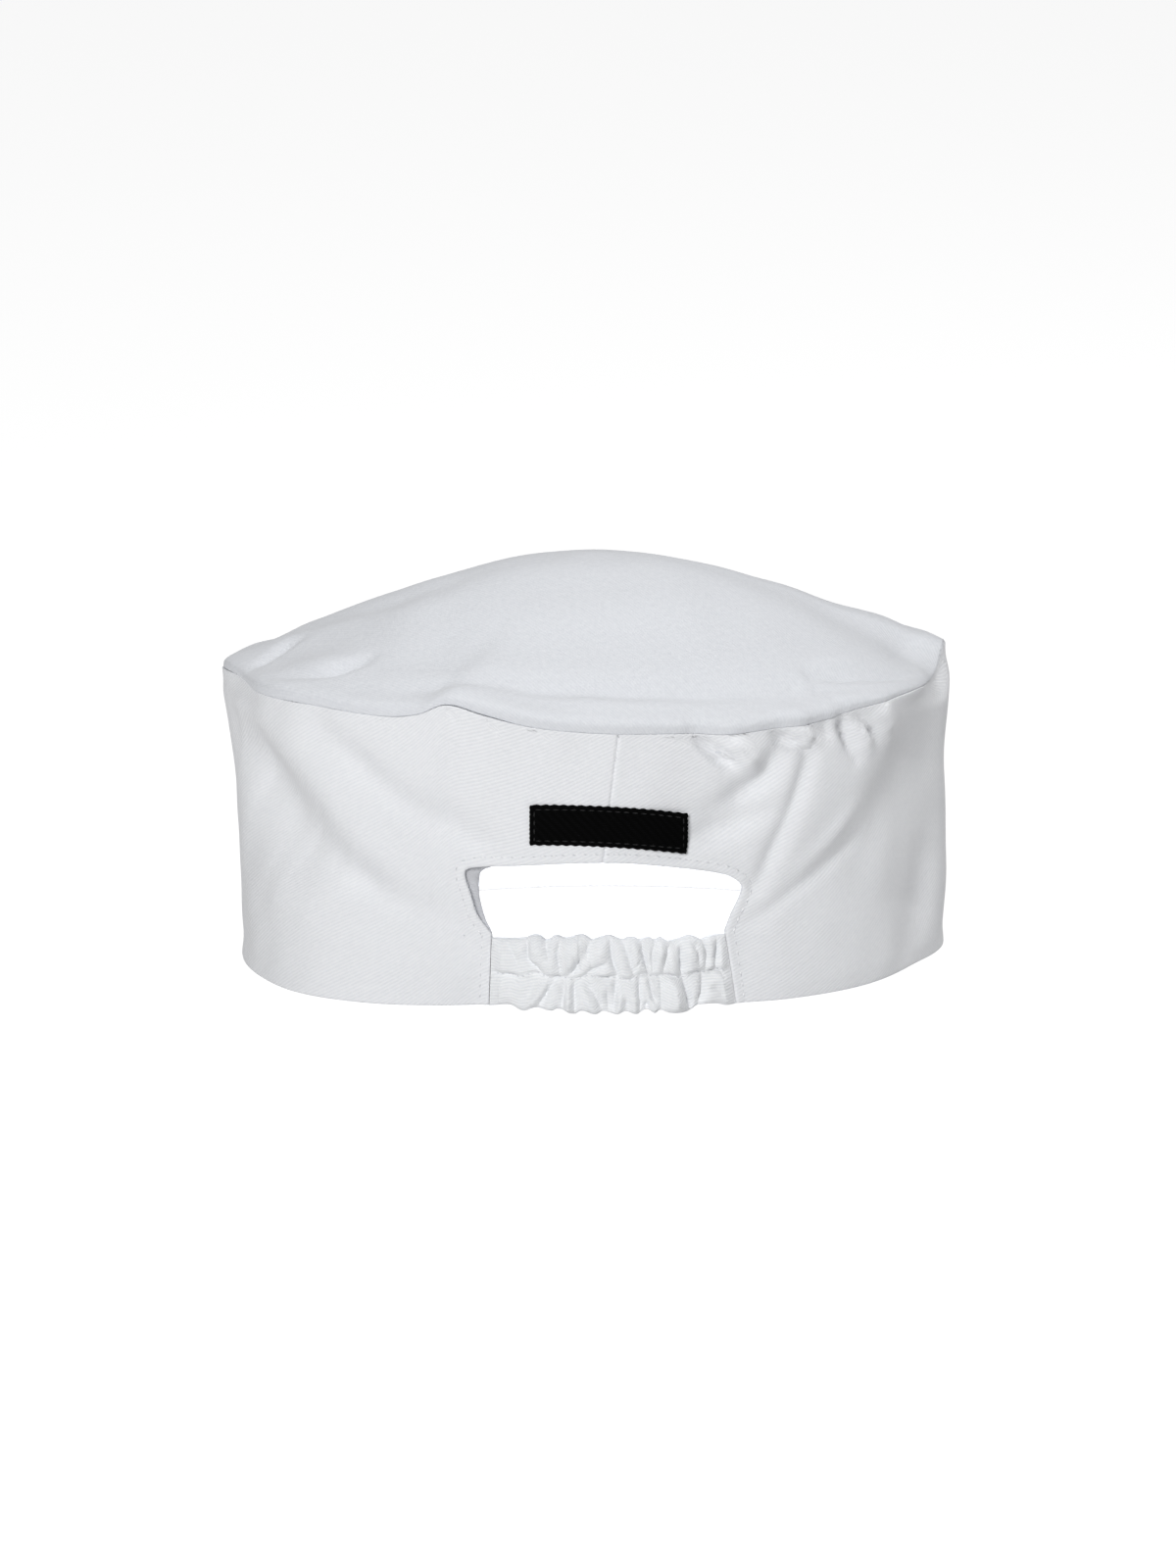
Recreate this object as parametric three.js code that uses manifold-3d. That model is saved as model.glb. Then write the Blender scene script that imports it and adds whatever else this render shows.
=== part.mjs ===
// A kitchen skull cap in white cotton drill, standing on its hem.
// Millimetres, +Z up. The back of the cap, with its opening, faces -Y and the front +Y.
// A turn is an angle in degrees round the cap, 0 at the middle of the back and positive towards +X.
import * as THREE from "three";
import { mergeVertices } from "three/addons/utils/BufferGeometryUtils.js";
import Module from "manifold-3d";

// Cloth and clearances
const CLOTH = 1.2;
const GAP = 0.3;

// Side band
const BAND_HALF_WIDTH = 107.5;
const BAND_HALF_DEPTH = 72.5;
const BAND_HEIGHT = 85;
const FOLD_DEPTH = 4;

// Crown
const CROWN_RISE = 39;
const CROWN_PEAK_ACROSS = 3;
const CREASE_DEPTH = 3;
const SEAM_ALLOWANCE = 8;

// Opening at the back
const OPENING_CENTRE = 1;
const OPENING_HALF_WIDTH = 40.6;
const OPENING_TOP = 45.5;

// Elastic casing that closes the foot of the opening
const CASING_HEIGHT = 22.5;
const CASING_HALF_WIDTH = 34.8;
const CASING_PROUD = 3;
const CASING_THICKNESS = 2;
const RUFFLE_DEPTH = 2.4;
const RUFFLE_EDGE = 1.3;
// The stitch line between its two channels, as a share of its height
const CASING_MIDDLE = 0.49;

// Facing strip sewn inside the arch of the opening
const FACING_WIDTH = 8;
const FACING_THICKNESS = 1;
const FACING_GAP = 0.8;
const FACING_SHOWS = 3;
// The facing stops this far short of the ends of the arch, as a share of its length
const FACING_SHORT = 0.03;
// Where on the arch it shows most, and how far round, as shares of the arch's length
const FACING_SHOWS_AT = 0.16;
const FACING_SHOWS_ROUND = 0.07;

// Woven label
const LABEL_WIDTH = 46;
const LABEL_HEIGHT = 11.7;
const LABEL_THICKNESS = 0.7;
const LABEL_CENTRE = 0.8;
const LABEL_UP = 55.7;
const LABEL_TILT = -4.5;

// Fineness of the meshes, in steps
const BAND_COLUMNS = 88;
const BACK_CROWDING = 0.45;
const CASING_COLUMNS = 52;
const ARCH_STEPS = 44;
const LABEL_COLUMNS = 14;
const LABEL_ROWS = [-1 / 2, -1 / 6, 1 / 6, 1 / 2];

// Plan of the band: shares of its half sizes at the hem, half way up and at the crown seam.
// The elastic draws the hem in beside the opening, and the casing itself bows out.
const PLAN = [
  { turn: -180, hem: 1.0, middle: 1.0, top: 1.0 },
  { turn: -150, hem: 1.0, middle: 1.0, top: 1.0 },
  { turn: -120, hem: 0.995, middle: 0.995, top: 1.01 },
  { turn: -90, hem: 0.985, middle: 0.988, top: 1.037 },
  { turn: -70, hem: 1.01, middle: 0.995, top: 1.02 },
  { turn: -52, hem: 1.05, middle: 1.02, top: 1.01 },
  { turn: -38, hem: 1.03, middle: 1.01, top: 1.0 },
  { turn: -28, hem: 0.975, middle: 0.98, top: 0.99 },
  { turn: -20, hem: 0.925, middle: 0.965, top: 0.985 },
  { turn: -10, hem: 0.975, middle: 0.98, top: 0.985 },
  { turn: 0, hem: 1.015, middle: 0.99, top: 0.98 },
  { turn: 10, hem: 1.02, middle: 0.985, top: 0.975 },
  { turn: 20, hem: 0.99, middle: 0.98, top: 0.98 },
  { turn: 30, hem: 1.015, middle: 1.0, top: 0.99 },
  { turn: 50, hem: 1.025, middle: 1.01, top: 1.0 },
  { turn: 70, hem: 1.01, middle: 1.01, top: 1.02 },
  { turn: 90, hem: 1.024, middle: 1.024, top: 1.037 },
  { turn: 120, hem: 1.0, middle: 1.0, top: 1.01 },
  { turn: 150, hem: 1.0, middle: 1.0, top: 1.0 },
  { turn: 180, hem: 1.0, middle: 1.0, top: 1.0 },
];

// Height of the crown seam, as shares of the band's height
const SEAM = [
  { turn: -180, up: 1.0 },
  { turn: -140, up: 1.0 },
  { turn: -100, up: 1.015 },
  { turn: -85, up: 1.04 },
  { turn: -72, up: 1.035 },
  { turn: -52, up: 1.04 },
  { turn: -37, up: 1.03 },
  { turn: -31, up: 1.045 },
  { turn: -26, up: 1.085 },
  { turn: -20, up: 1.055 },
  { turn: -12, up: 1.015 },
  { turn: 0, up: 0.99 },
  { turn: 12, up: 0.98 },
  { turn: 20, up: 0.97 },
  { turn: 30, up: 0.975 },
  { turn: 40, up: 0.98 },
  { turn: 50, up: 1.0 },
  { turn: 62, up: 1.02 },
  { turn: 72, up: 1.04 },
  { turn: 82, up: 1.06 },
  { turn: 92, up: 1.085 },
  { turn: 103, up: 1.07 },
  { turn: 120, up: 1.03 },
  { turn: 145, up: 1.0 },
  { turn: 180, up: 1.0 },
];

// Folds of the band. Each runs from one place to another, as a turn and a share of the height.
// Its width is a share of the band's height and its depth a share of FOLD_DEPTH, out if negative.
const FOLDS = [
  { turn: -84, up: 0.95, toTurn: -62, toUp: 0.66, width: 0.06, depth: 0.8 },
  { turn: -62, up: 0.66, toTurn: -52, toUp: 0.4, width: 0.07, depth: 0.6 },
  { turn: -76, up: 0.6, toTurn: -66, toUp: 0.25, width: 0.11, depth: -0.5 },
  { turn: -60, up: 0.92, toTurn: -46, toUp: 0.6, width: 0.05, depth: 0.45 },
  { turn: -46, up: 0.6, toTurn: -31, toUp: 0.49, width: 0.06, depth: 0.6 },
  { turn: -31, up: 0.49, toTurn: -22, toUp: 0.3, width: 0.05, depth: 0.5 },
  { turn: -40, up: 0.95, toTurn: -30, toUp: 0.76, width: 0.04, depth: 0.35 },
  { turn: -30, up: 0.76, toTurn: -22, toUp: 0.6, width: 0.036, depth: 0.5 },
  { turn: -30, up: 0.6, toTurn: -38, toUp: 0.8, width: 0.06, depth: -0.3 },
  { turn: 34, up: 0.93, toTurn: 29, toUp: 0.73, width: 0.036, depth: 0.55 },
  { turn: 29, up: 0.73, toTurn: 24, toUp: 0.45, width: 0.036, depth: 0.75 },
  { turn: 25, up: 0.84, toTurn: 15, toUp: 0.62, width: 0.05, depth: 0.4 },
  { turn: 23, up: 0.36, toTurn: 36, toUp: 0.58, width: 0.045, depth: 0.6 },
  { turn: 36, up: 0.58, toTurn: 47, toUp: 0.8, width: 0.06, depth: 0.6 },
  { turn: 52, up: 0.35, toTurn: 66, toUp: 0.8, width: 0.13, depth: 0.8 },
  { turn: 12, up: 1.0, toTurn: 20, toUp: 0.86, width: 0.036, depth: 0.4 },
  { turn: 17, up: 1.0, toTurn: 22, toUp: 0.88, width: 0.036, depth: -0.45 },
  { turn: 25, up: 1.0, toTurn: 30, toUp: 0.9, width: 0.036, depth: 0.35 },
  { turn: 30, up: 1.0, toTurn: 33, toUp: 0.9, width: 0.036, depth: -0.4 },
  { turn: 38, up: 1.0, toTurn: 39, toUp: 0.85, width: 0.036, depth: 0.45 },
  { turn: 40, up: 1.0, toTurn: 45, toUp: 0.88, width: 0.036, depth: 0.35 },
  { turn: 44, up: 1.0, toTurn: 48, toUp: 0.88, width: 0.036, depth: -0.45 },
];

// Crown from the seam to its peak: how far out it reaches, as a share of the seam's plan, and how
// far it has risen, as a share of CROWN_RISE, towards each side and towards the back and front.
const CROWN = [
  { reach: 1.0, left: 0, right: 0, back: 0 },
  { reach: 0.99, left: 0.05, right: 0.04, back: 0.055 },
  { reach: 0.955, left: 0.115, right: 0.125, back: 0.12 },
  { reach: 0.9, left: 0.2, right: 0.205, back: 0.195 },
  { reach: 0.84, left: 0.295, right: 0.3, back: 0.255 },
  { reach: 0.78, left: 0.37, right: 0.38, back: 0.315 },
  { reach: 0.7, left: 0.48, right: 0.475, back: 0.41 },
  { reach: 0.6, left: 0.61, right: 0.595, back: 0.535 },
  { reach: 0.48, left: 0.745, right: 0.715, back: 0.68 },
  { reach: 0.35, left: 0.85, right: 0.84, back: 0.81 },
  { reach: 0.19, left: 0.945, right: 0.945, back: 0.94 },
  { reach: 0, left: 1.0, right: 1.0, back: 1.0 },
];

// Creases of the crown, as turns and reaches. Widths are shares of the band's half depth, depths
// of CREASE_DEPTH.
const CREASES = [
  { turn: -86, reach: 0.97, toTurn: -96, toReach: 0.82, width: 0.05, depth: 0.6 },
  { turn: -72, reach: 0.95, toTurn: -60, toReach: 0.78, width: 0.05, depth: 0.6 },
  { turn: -78, reach: 0.94, toTurn: -80, toReach: 0.72, width: 0.08, depth: -0.4 },
  { turn: 62, reach: 0.93, toTurn: 44, toReach: 0.88, width: 0.04, depth: 0.5 },
  { turn: 74, reach: 0.88, toTurn: 58, toReach: 0.78, width: 0.05, depth: 0.4 },
];

// Outline of the opening above the casing. Side is a share of its half width, widen goes from the
// casing's half width to the opening's, and up from the casing's top to the opening's.
const ARCH = [
  { side: -1, widen: 0, up: 0.0 },
  { side: -1, widen: 0.45, up: 0.24 },
  { side: -1, widen: 0.78, up: 0.55 },
  { side: -1, widen: 0.98, up: 0.77 },
  { side: -0.95, widen: 1, up: 0.86 },
  { side: -0.79, widen: 1, up: 0.91 },
  { side: -0.5, widen: 1, up: 0.97 },
  { side: -0.18, widen: 1, up: 1.0 },
  { side: 0.14, widen: 1, up: 0.985 },
  { side: 0.5, widen: 1, up: 0.9 },
  { side: 0.8, widen: 1, up: 0.79 },
  { side: 0.93, widen: 1, up: 0.69 },
  { side: 1, widen: 0.93, up: 0.56 },
  { side: 1, widen: 0.75, up: 0.42 },
  { side: 1, widen: 0.35, up: 0.22 },
  { side: 1, widen: 0, up: 0.0 },
];

// Where the casing meets the band, as shares of the casing's half width at its top and its foot
const CASING_ENDS = { left: { top: 1, foot: 1.02 }, right: { top: 1, foot: 1.1 } };

// Section of the casing: two channels, pinched by the stitch line between them.
// Up is a share of its height, out and in are shares of its bulge and its thickness.
const CASING_SECTION = [
  { up: 0.0, out: 0.75, in: 0.45 },
  { up: 0.06, out: 0.95, in: 0.85 },
  { up: 0.19, out: 1.0, in: 1.0 },
  { up: 0.34, out: 0.95, in: 1.0 },
  { up: 0.45, out: 0.4, in: 0.8 },
  { up: 0.49, out: 0.0, in: 0.55 },
  { up: 0.53, out: 0.3, in: 0.8 },
  { up: 0.64, out: 0.85, in: 1.0 },
  { up: 0.8, out: 1.0, in: 1.0 },
  { up: 0.94, out: 0.7, in: 0.85 },
  { up: 1.0, out: 0.1, in: 0.45 },
];

// Valleys between the ruffles of each channel: places along the casing at the channel's foot and
// head, and how deep each is.
const LOWER_VALLEYS = [
  { foot: 0.0, head: 0.0, depth: 0.4 },
  { foot: 0.06, head: 0.13, depth: 0.5 },
  { foot: 0.175, head: 0.26, depth: 0.9 },
  { foot: 0.29, head: 0.305, depth: 0.6 },
  { foot: 0.335, head: 0.345, depth: 0.7 },
  { foot: 0.44, head: 0.37, depth: 0.8 },
  { foot: 0.495, head: 0.51, depth: 1.0 },
  { foot: 0.585, head: 0.6, depth: 0.9 },
  { foot: 0.66, head: 0.64, depth: 0.8 },
  { foot: 0.7, head: 0.69, depth: 0.6 },
  { foot: 0.79, head: 0.78, depth: 1.0 },
  { foot: 0.83, head: 0.86, depth: 0.8 },
  { foot: 0.92, head: 0.9, depth: 0.5 },
  { foot: 1.0, head: 1.0, depth: 0.4 },
];
const UPPER_VALLEYS = [
  { foot: 0.0, head: 0.0, depth: 0.4 },
  { foot: 0.1, head: 0.07, depth: 0.6 },
  { foot: 0.155, head: 0.14, depth: 0.8 },
  { foot: 0.21, head: 0.22, depth: 0.6 },
  { foot: 0.275, head: 0.28, depth: 0.8 },
  { foot: 0.345, head: 0.39, depth: 1.0 },
  { foot: 0.42, head: 0.45, depth: 0.8 },
  { foot: 0.52, head: 0.5, depth: 0.9 },
  { foot: 0.575, head: 0.555, depth: 0.8 },
  { foot: 0.635, head: 0.625, depth: 1.0 },
  { foot: 0.71, head: 0.68, depth: 0.8 },
  { foot: 0.775, head: 0.78, depth: 1.0 },
  { foot: 0.84, head: 0.85, depth: 0.7 },
  { foot: 0.905, head: 0.95, depth: 1.0 },
  { foot: 1.0, head: 1.0, depth: 0.4 },
];

// Rows of the band's mesh, as shares of its height; the last rows also carry the seam allowance
const BAND_ROWS = [0, 0.08, 0.18, 0.28, 0.38, 0.47, 0.56, 0.65, 0.74, 0.82];

// A fold fades out over this share of its length at each end
const FOLD_FADE = 0.25;
// Power of the reach at which the band's puckers fade out of the crown
const PUCKER_FADE = 12;
// And the power at which the seam's rise and fall fades out of it
const SEAM_FADE = 3;
// The ruffles reach their full depth this share of the way in from the casing's ends
const FLAT_END = 0.08;
// Below 1 makes the ruffles round with sharp valleys
const RUFFLE_ROUNDNESS = 0.8;
// The ruffles' unevenness in height is felt only near the casing's edges, by this odd power
const EDGE_POWER = 9;
// One degree of turn, laid out flat along the band
const DEGREE_ALONG = (Math.PI / 180) * 0.5 * (BAND_HALF_WIDTH + BAND_HALF_DEPTH);
// Steps over which slopes are measured: in degrees, in shares of the height and in crown rows
const TURN_STEP = 1;
const SLOPE_STEP = 0.01;
const ROW_STEP = 0.1;
const FULL_TURN = 360;
// Passes that find the band's place under a point seen from behind
const PLACE_PASSES = 8;

const cotton = new THREE.MeshStandardMaterial({ color: "#eef0f2", roughness: 0.9, metalness: 0 });
const crownCotton = new THREE.MeshStandardMaterial({ color: "#e6e8eb", roughness: 0.9, metalness: 0 });
const tapeCotton = new THREE.MeshStandardMaterial({ color: "#dfe2e6", roughness: 0.95, metalness: 0 });
const wovenSatin = new THREE.MeshStandardMaterial({ color: "#08080a", roughness: 0.6, metalness: 0 });

const manifold = await Module();
manifold.setup();

const radians = THREE.MathUtils.degToRad;
const mix = THREE.MathUtils.lerp;
const clamp = THREE.MathUtils.clamp;

// Slope of a table's column at one row, from the rows on both sides of it
function slopeAt(table, key, column, row) {
  const before = table[Math.max(row - 1, 0)];
  const after = table[Math.min(row + 1, table.length - 1)];
  return (after[column] - before[column]) / (after[key] - before[key]);
}

// Value of a column where the key has a given value: a cubic through the rows, in key order
function readTable(table, key, column, at) {
  const place = clamp(at, table[0][key], table[table.length - 1][key]);
  let row = 0;
  while (row < table.length - 2 && place > table[row + 1][key]) row += 1;
  const a = table[row];
  const b = table[row + 1];
  const span = b[key] - a[key];
  const f = (place - a[key]) / span;
  const startSlope = slopeAt(table, key, column, row) * span;
  const endSlope = slopeAt(table, key, column, row + 1) * span;
  const ff = f * f;
  const fff = ff * f;
  return (
    (2 * fff - 3 * ff + 1) * a[column] +
    (fff - 2 * ff + f) * startSlope +
    (3 * ff - 2 * fff) * b[column] +
    (fff - ff) * endSlope
  );
}

// Depth of a crease at a place on its own flat chart, where a and b are its ends
function creaseDepth(place, a, b, width, depth) {
  const run = b.clone().sub(a);
  const along = clamp(place.clone().sub(a).dot(run) / run.lengthSq(), 0, 1);
  const away = place.distanceTo(a.clone().addScaledVector(run, along)) / width;
  const fade = Math.min(1, (1 + Math.min(along, 1 - along) / FOLD_FADE) / 2);
  return depth * fade * Math.exp(-away * away);
}

// How far the folds push the band inwards at a turn and a share of its height
function foldDepth(turn, up) {
  const place = new THREE.Vector2(turn * DEGREE_ALONG, up * BAND_HEIGHT);
  let total = 0;
  for (const fold of FOLDS) {
    const start = new THREE.Vector2(fold.turn * DEGREE_ALONG, fold.up * BAND_HEIGHT);
    const end = new THREE.Vector2(fold.toTurn * DEGREE_ALONG, fold.toUp * BAND_HEIGHT);
    total += creaseDepth(place, start, end, fold.width * BAND_HEIGHT, fold.depth * FOLD_DEPTH);
  }
  return total;
}

// Point of the band's outer face, which some calls want with less of its folds
function bandPoint(turn, up, folded = 1) {
  const shares = ["hem", "middle", "top"].map((column) => readTable(PLAN, "turn", column, turn));
  const heights = shares.map((share, i) => ({ up: i / 2, share }));
  const share = readTable(heights, "up", "share", up);
  const inward = foldDepth(turn, up) * folded;
  const angle = radians(turn);
  return new THREE.Vector3(
    (BAND_HALF_WIDTH * share - inward) * Math.sin(angle),
    -(BAND_HALF_DEPTH * share - inward) * Math.cos(angle),
    up * BAND_HEIGHT * readTable(SEAM, "turn", "up", turn),
  );
}

// Unit normal, facing out, of a surface given by a function of two places
function outward(surface, u, v, stepU, stepV) {
  const alongU = surface(u + stepU, v).sub(surface(u - stepU, v));
  const alongV = surface(u, v + stepV).sub(surface(u, v - stepV));
  return alongU.cross(alongV).normalize();
}

// Point a given depth inside the band's outer face. The hem's rows keep to the level of the hem.
function bandInside(turn, up, depth) {
  const normal = outward(bandPoint, turn, up, TURN_STEP, SLOPE_STEP);
  normal.z = 0;
  return bandPoint(turn, up).addScaledVector(normal.normalize(), -depth);
}

// Turn and share of height of the band at a place seen from behind
function bandPlace(across, height) {
  let turn = 0;
  let up = height / BAND_HEIGHT;
  for (let pass = 0; pass < PLACE_PASSES; pass += 1) {
    const here = bandPoint(turn, up);
    const slope = (bandPoint(turn + TURN_STEP, up).x - here.x) / TURN_STEP;
    turn += (across - here.x) / slope;
    up += (height - here.z) / BAND_HEIGHT;
  }
  return { turn, up };
}

// Point a given depth inside the band's outer face, at a place seen from behind
function behindBand(across, height, depth) {
  const place = bandPlace(across, height);
  return bandInside(place.turn, place.up, depth);
}

// Closed body through rings of points. A ring lists its outer points upwards and then its inner
// points downwards. The rings close on themselves round the cap, or end in flat caps.
function closedBody(rings, goesRound) {
  const size = rings[0].length;
  const points = rings.flat();
  const faces = [];
  const last = goesRound ? rings.length : rings.length - 1;
  for (let i = 0; i < last; i += 1) {
    const here = i * size;
    const next = ((i + 1) % rings.length) * size;
    for (let j = 0; j < size; j += 1) {
      const above = (j + 1) % size;
      // Faces that look at each other across a gap are split along the same diagonal
      if (points[here + above].z < points[here + j].z) {
        faces.push([here + j, next + j, next + above], [here + j, next + above, here + above]);
      } else {
        faces.push([here + j, next + j, here + above], [next + j, next + above, here + above]);
      }
    }
  }
  if (!goesRound) {
    const end = (rings.length - 1) * size;
    for (let j = 0; j < size / 2 - 1; j += 1) {
      const across = size - 1 - j;
      faces.push([j, j + 1, across], [j + 1, across - 1, across]);
      faces.push([end + j + 1, end + j, end + across], [end + across - 1, end + j + 1, end + across]);
    }
  }
  return weld(points, faces);
}

// Geometry of a list of points and faces, with equal points joined and collapsed faces left out
function weld(points, faces) {
  const numbers = new Map();
  const positions = [];
  const renumbered = points.map((point) => {
    const name = point.toArray().map((value) => value.toFixed(4)).join(" ");
    if (!numbers.has(name)) {
      numbers.set(name, numbers.size);
      positions.push(...point.toArray());
    }
    return numbers.get(name);
  });
  const kept = faces
    .map((face) => face.map((corner) => renumbered[corner]))
    .filter(([a, b, c]) => a !== b && b !== c && c !== a);
  const geometry = new THREE.BufferGeometry();
  geometry.setAttribute("position", new THREE.Float32BufferAttribute(positions, 3));
  geometry.setIndex(kept.flat());
  return geometry;
}

function solidOf(geometry) {
  return new manifold.Manifold(
    new manifold.Mesh({
      numProp: 3,
      vertProperties: new Float32Array(geometry.attributes.position.array),
      triVerts: new Uint32Array(geometry.index.array),
    }),
  );
}

function geometryOf(solid) {
  const mesh = solid.getMesh();
  const geometry = new THREE.BufferGeometry();
  geometry.setAttribute("position", new THREE.Float32BufferAttribute(mesh.vertProperties, mesh.numProp));
  geometry.setIndex(new THREE.Uint32BufferAttribute(mesh.triVerts, 1));
  return geometry;
}

function piece(name, geometry, material) {
  geometry.computeVertexNormals();
  const mesh = new THREE.Mesh(geometry, material);
  mesh.name = name;
  return mesh;
}

// Turns of the mesh columns round the cap, closer together at the back
function columnTurns() {
  const turns = [];
  for (let i = 0; i < BAND_COLUMNS; i += 1) {
    const even = (FULL_TURN * i) / BAND_COLUMNS - FULL_TURN / 2;
    turns.push(even - THREE.MathUtils.radToDeg(BACK_CROWDING * Math.sin(radians(even))));
  }
  return turns;
}

// Half widths of the casing's two ends at a height
function casingEnd(side, height) {
  const ends = side < 0 ? CASING_ENDS.left : CASING_ENDS.right;
  const share = mix(ends.foot, ends.top, height / CASING_HEIGHT);
  return OPENING_CENTRE + side * CASING_HALF_WIDTH * share;
}

// Outline of the arch from its lower left corner over to its lower right one, seen from behind
function archOutline() {
  const corners = ARCH.map(({ side, widen, up }) => {
    const half = mix(CASING_HALF_WIDTH, OPENING_HALF_WIDTH, widen);
    return new THREE.Vector2(OPENING_CENTRE + side * half, mix(CASING_HEIGHT, OPENING_TOP, up));
  });
  return new THREE.SplineCurve(corners);
}

// Body that cuts the opening and the casing's place out of the band
function openingCutter() {
  const below = -CASING_HEIGHT;
  const outline = new THREE.Shape([
    ...archOutline().getPoints(ARCH_STEPS),
    new THREE.Vector2(casingEnd(1, below), below),
    new THREE.Vector2(casingEnd(-1, below), below),
  ]);
  const reach = 2 * BAND_HALF_DEPTH;
  const cutter = new THREE.ExtrudeGeometry(outline, { depth: reach, bevelEnabled: false });
  cutter.rotateX(Math.PI / 2);
  cutter.deleteAttribute("normal");
  cutter.deleteAttribute("uv");
  return solidOf(mergeVertices(cutter));
}

// Rows of the band from its hem to the crown seam, with the seam allowance's own rows on top
function bandRows() {
  const allowance = 1 - SEAM_ALLOWANCE / BAND_HEIGHT;
  return [...BAND_ROWS, allowance, 1];
}

// Side band: one strip round the head, cut out at the back
function makeBand() {
  const rows = bandRows();
  const rings = columnTurns().map((turn) => [
    ...rows.map((up) => bandPoint(turn, up)),
    ...rows.map((up) => bandInside(turn, up, CLOTH)).reverse(),
  ]);
  const whole = solidOf(closedBody(rings, true));
  return piece("side_band", geometryOf(whole.subtract(openingCutter())), cotton);
}

// How far the creases push the crown inwards at a turn and a reach
function crownCrease(turn, reach) {
  const chart = (t, r) => {
    const angle = radians(t);
    return new THREE.Vector2(BAND_HALF_WIDTH * r * Math.sin(angle), -BAND_HALF_DEPTH * r * Math.cos(angle));
  };
  let total = 0;
  for (const crease of CREASES) {
    const start = chart(crease.turn, crease.reach);
    const end = chart(crease.toTurn, crease.toReach);
    const width = crease.width * BAND_HALF_DEPTH;
    total += creaseDepth(chart(turn, reach), start, end, width, crease.depth * CREASE_DEPTH);
  }
  return total;
}

// Point of the crown's outer face, at a row counted from the seam
function crownPoint(turn, row) {
  const stepped = CROWN.map((section, i) => ({ ...section, row: i }));
  const side = turn < 0 ? "left" : "right";
  const columns = ["reach", side, "back"];
  const [reach, sideRise, backRise] = columns.map((column) => readTable(stepped, "row", column, row));
  const seam = bandPoint(turn, 1, reach ** PUCKER_FADE);
  const risen = mix(backRise, sideRise, Math.sin(radians(turn)) ** 2);
  const rim = mix(BAND_HEIGHT, seam.z, reach ** SEAM_FADE) + GAP;
  const peak = BAND_HEIGHT + CROWN_RISE;
  const crease = crownCrease(turn, reach);
  return new THREE.Vector3(
    mix(CROWN_PEAK_ACROSS, seam.x, reach),
    seam.y * reach,
    mix(rim, peak, risen) - crease * (1 - reach ** PUCKER_FADE),
  );
}

// Crown: a domed panel with its seam allowance turned down inside the band
function makeCrown() {
  const top = CROWN.length - 1;
  const rows = [...Array(top).keys()];
  const peak = crownPoint(0, top);
  const underPeak = peak.clone().setZ(peak.z - CLOTH);
  const tucked = CLOTH + GAP;
  const allowance = bandRows().slice(-2);
  const rings = columnTurns().map((turn) => {
    const outer = rows.map((row) => crownPoint(turn, row));
    const inner = rows.slice(1).map((row) => {
      const normal = outward(crownPoint, turn, row, TURN_STEP, ROW_STEP);
      return crownPoint(turn, row).addScaledVector(normal, -CLOTH);
    });
    const flangeInner = allowance.map((up) => bandInside(turn, up, tucked + CLOTH)).reverse();
    const flangeOuter = allowance.map((up) => bandInside(turn, up, tucked));
    flangeInner[0].z += CLOTH;
    flangeOuter[flangeOuter.length - 1].z += GAP;
    return [...outer, peak, underPeak, ...inner.reverse(), ...flangeInner, ...flangeOuter];
  });
  return piece("crown_top", closedBody(rings, true), crownCotton);
}

// Height of the ruffles, from 0 in a valley to 1 on a ridge, along one channel of the casing
function ruffleIn(valleys, along, head) {
  const places = valleys.map((valley) => mix(valley.foot, valley.head, head));
  let i = 0;
  while (i < places.length - 2 && along > places[i + 1]) i += 1;
  const f = clamp((along - places[i]) / (places[i + 1] - places[i]), 0, 1);
  const floor = 1 - mix(valleys[i].depth, valleys[i + 1].depth, f);
  return floor + (1 - floor) * Math.sin(Math.PI * f) ** RUFFLE_ROUNDNESS;
}

// Height of the ruffles at a place of the casing, given as shares of its length and height
function ruffleAt(along, up) {
  if (up < CASING_MIDDLE) return ruffleIn(LOWER_VALLEYS, along, up / CASING_MIDDLE);
  return ruffleIn(UPPER_VALLEYS, along, (up - CASING_MIDDLE) / (1 - CASING_MIDDLE));
}

// Elastic casing: two ruffled channels side by side, the foot of which stands on the hem's level
function makeCasing() {
  const rings = [];
  for (let i = 0; i <= CASING_COLUMNS; i += 1) {
    const along = i / CASING_COLUMNS;
    const swell = clamp(Math.min(along, 1 - along) / FLAT_END, 0, 1);
    const ring = (depthOf) =>
      CASING_SECTION.map((row) => {
        const ruffle = ruffleAt(along, row.up) * swell;
        const level = row.up * CASING_HEIGHT;
        const left = casingEnd(-1, level) + GAP;
        const right = casingEnd(1, level) - GAP;
        const edge = RUFFLE_EDGE * (1 - ruffle) * (1 - 2 * row.up) ** EDGE_POWER;
        return behindBand(mix(left, right, along), level, depthOf(row, ruffle)).setZ(level + edge);
      });
    const outer = ring((row, ruffle) => {
      const bulge = mix(CASING_PROUD - RUFFLE_DEPTH, CASING_PROUD, ruffle);
      return -bulge * row.out * swell;
    });
    const inner = ring((row) => CLOTH + (CASING_THICKNESS - CLOTH) * row.in * swell);
    rings.push([...outer, ...inner.reverse()]);
  }
  return piece("elastic_casing", closedBody(rings, false), cotton);
}

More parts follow.
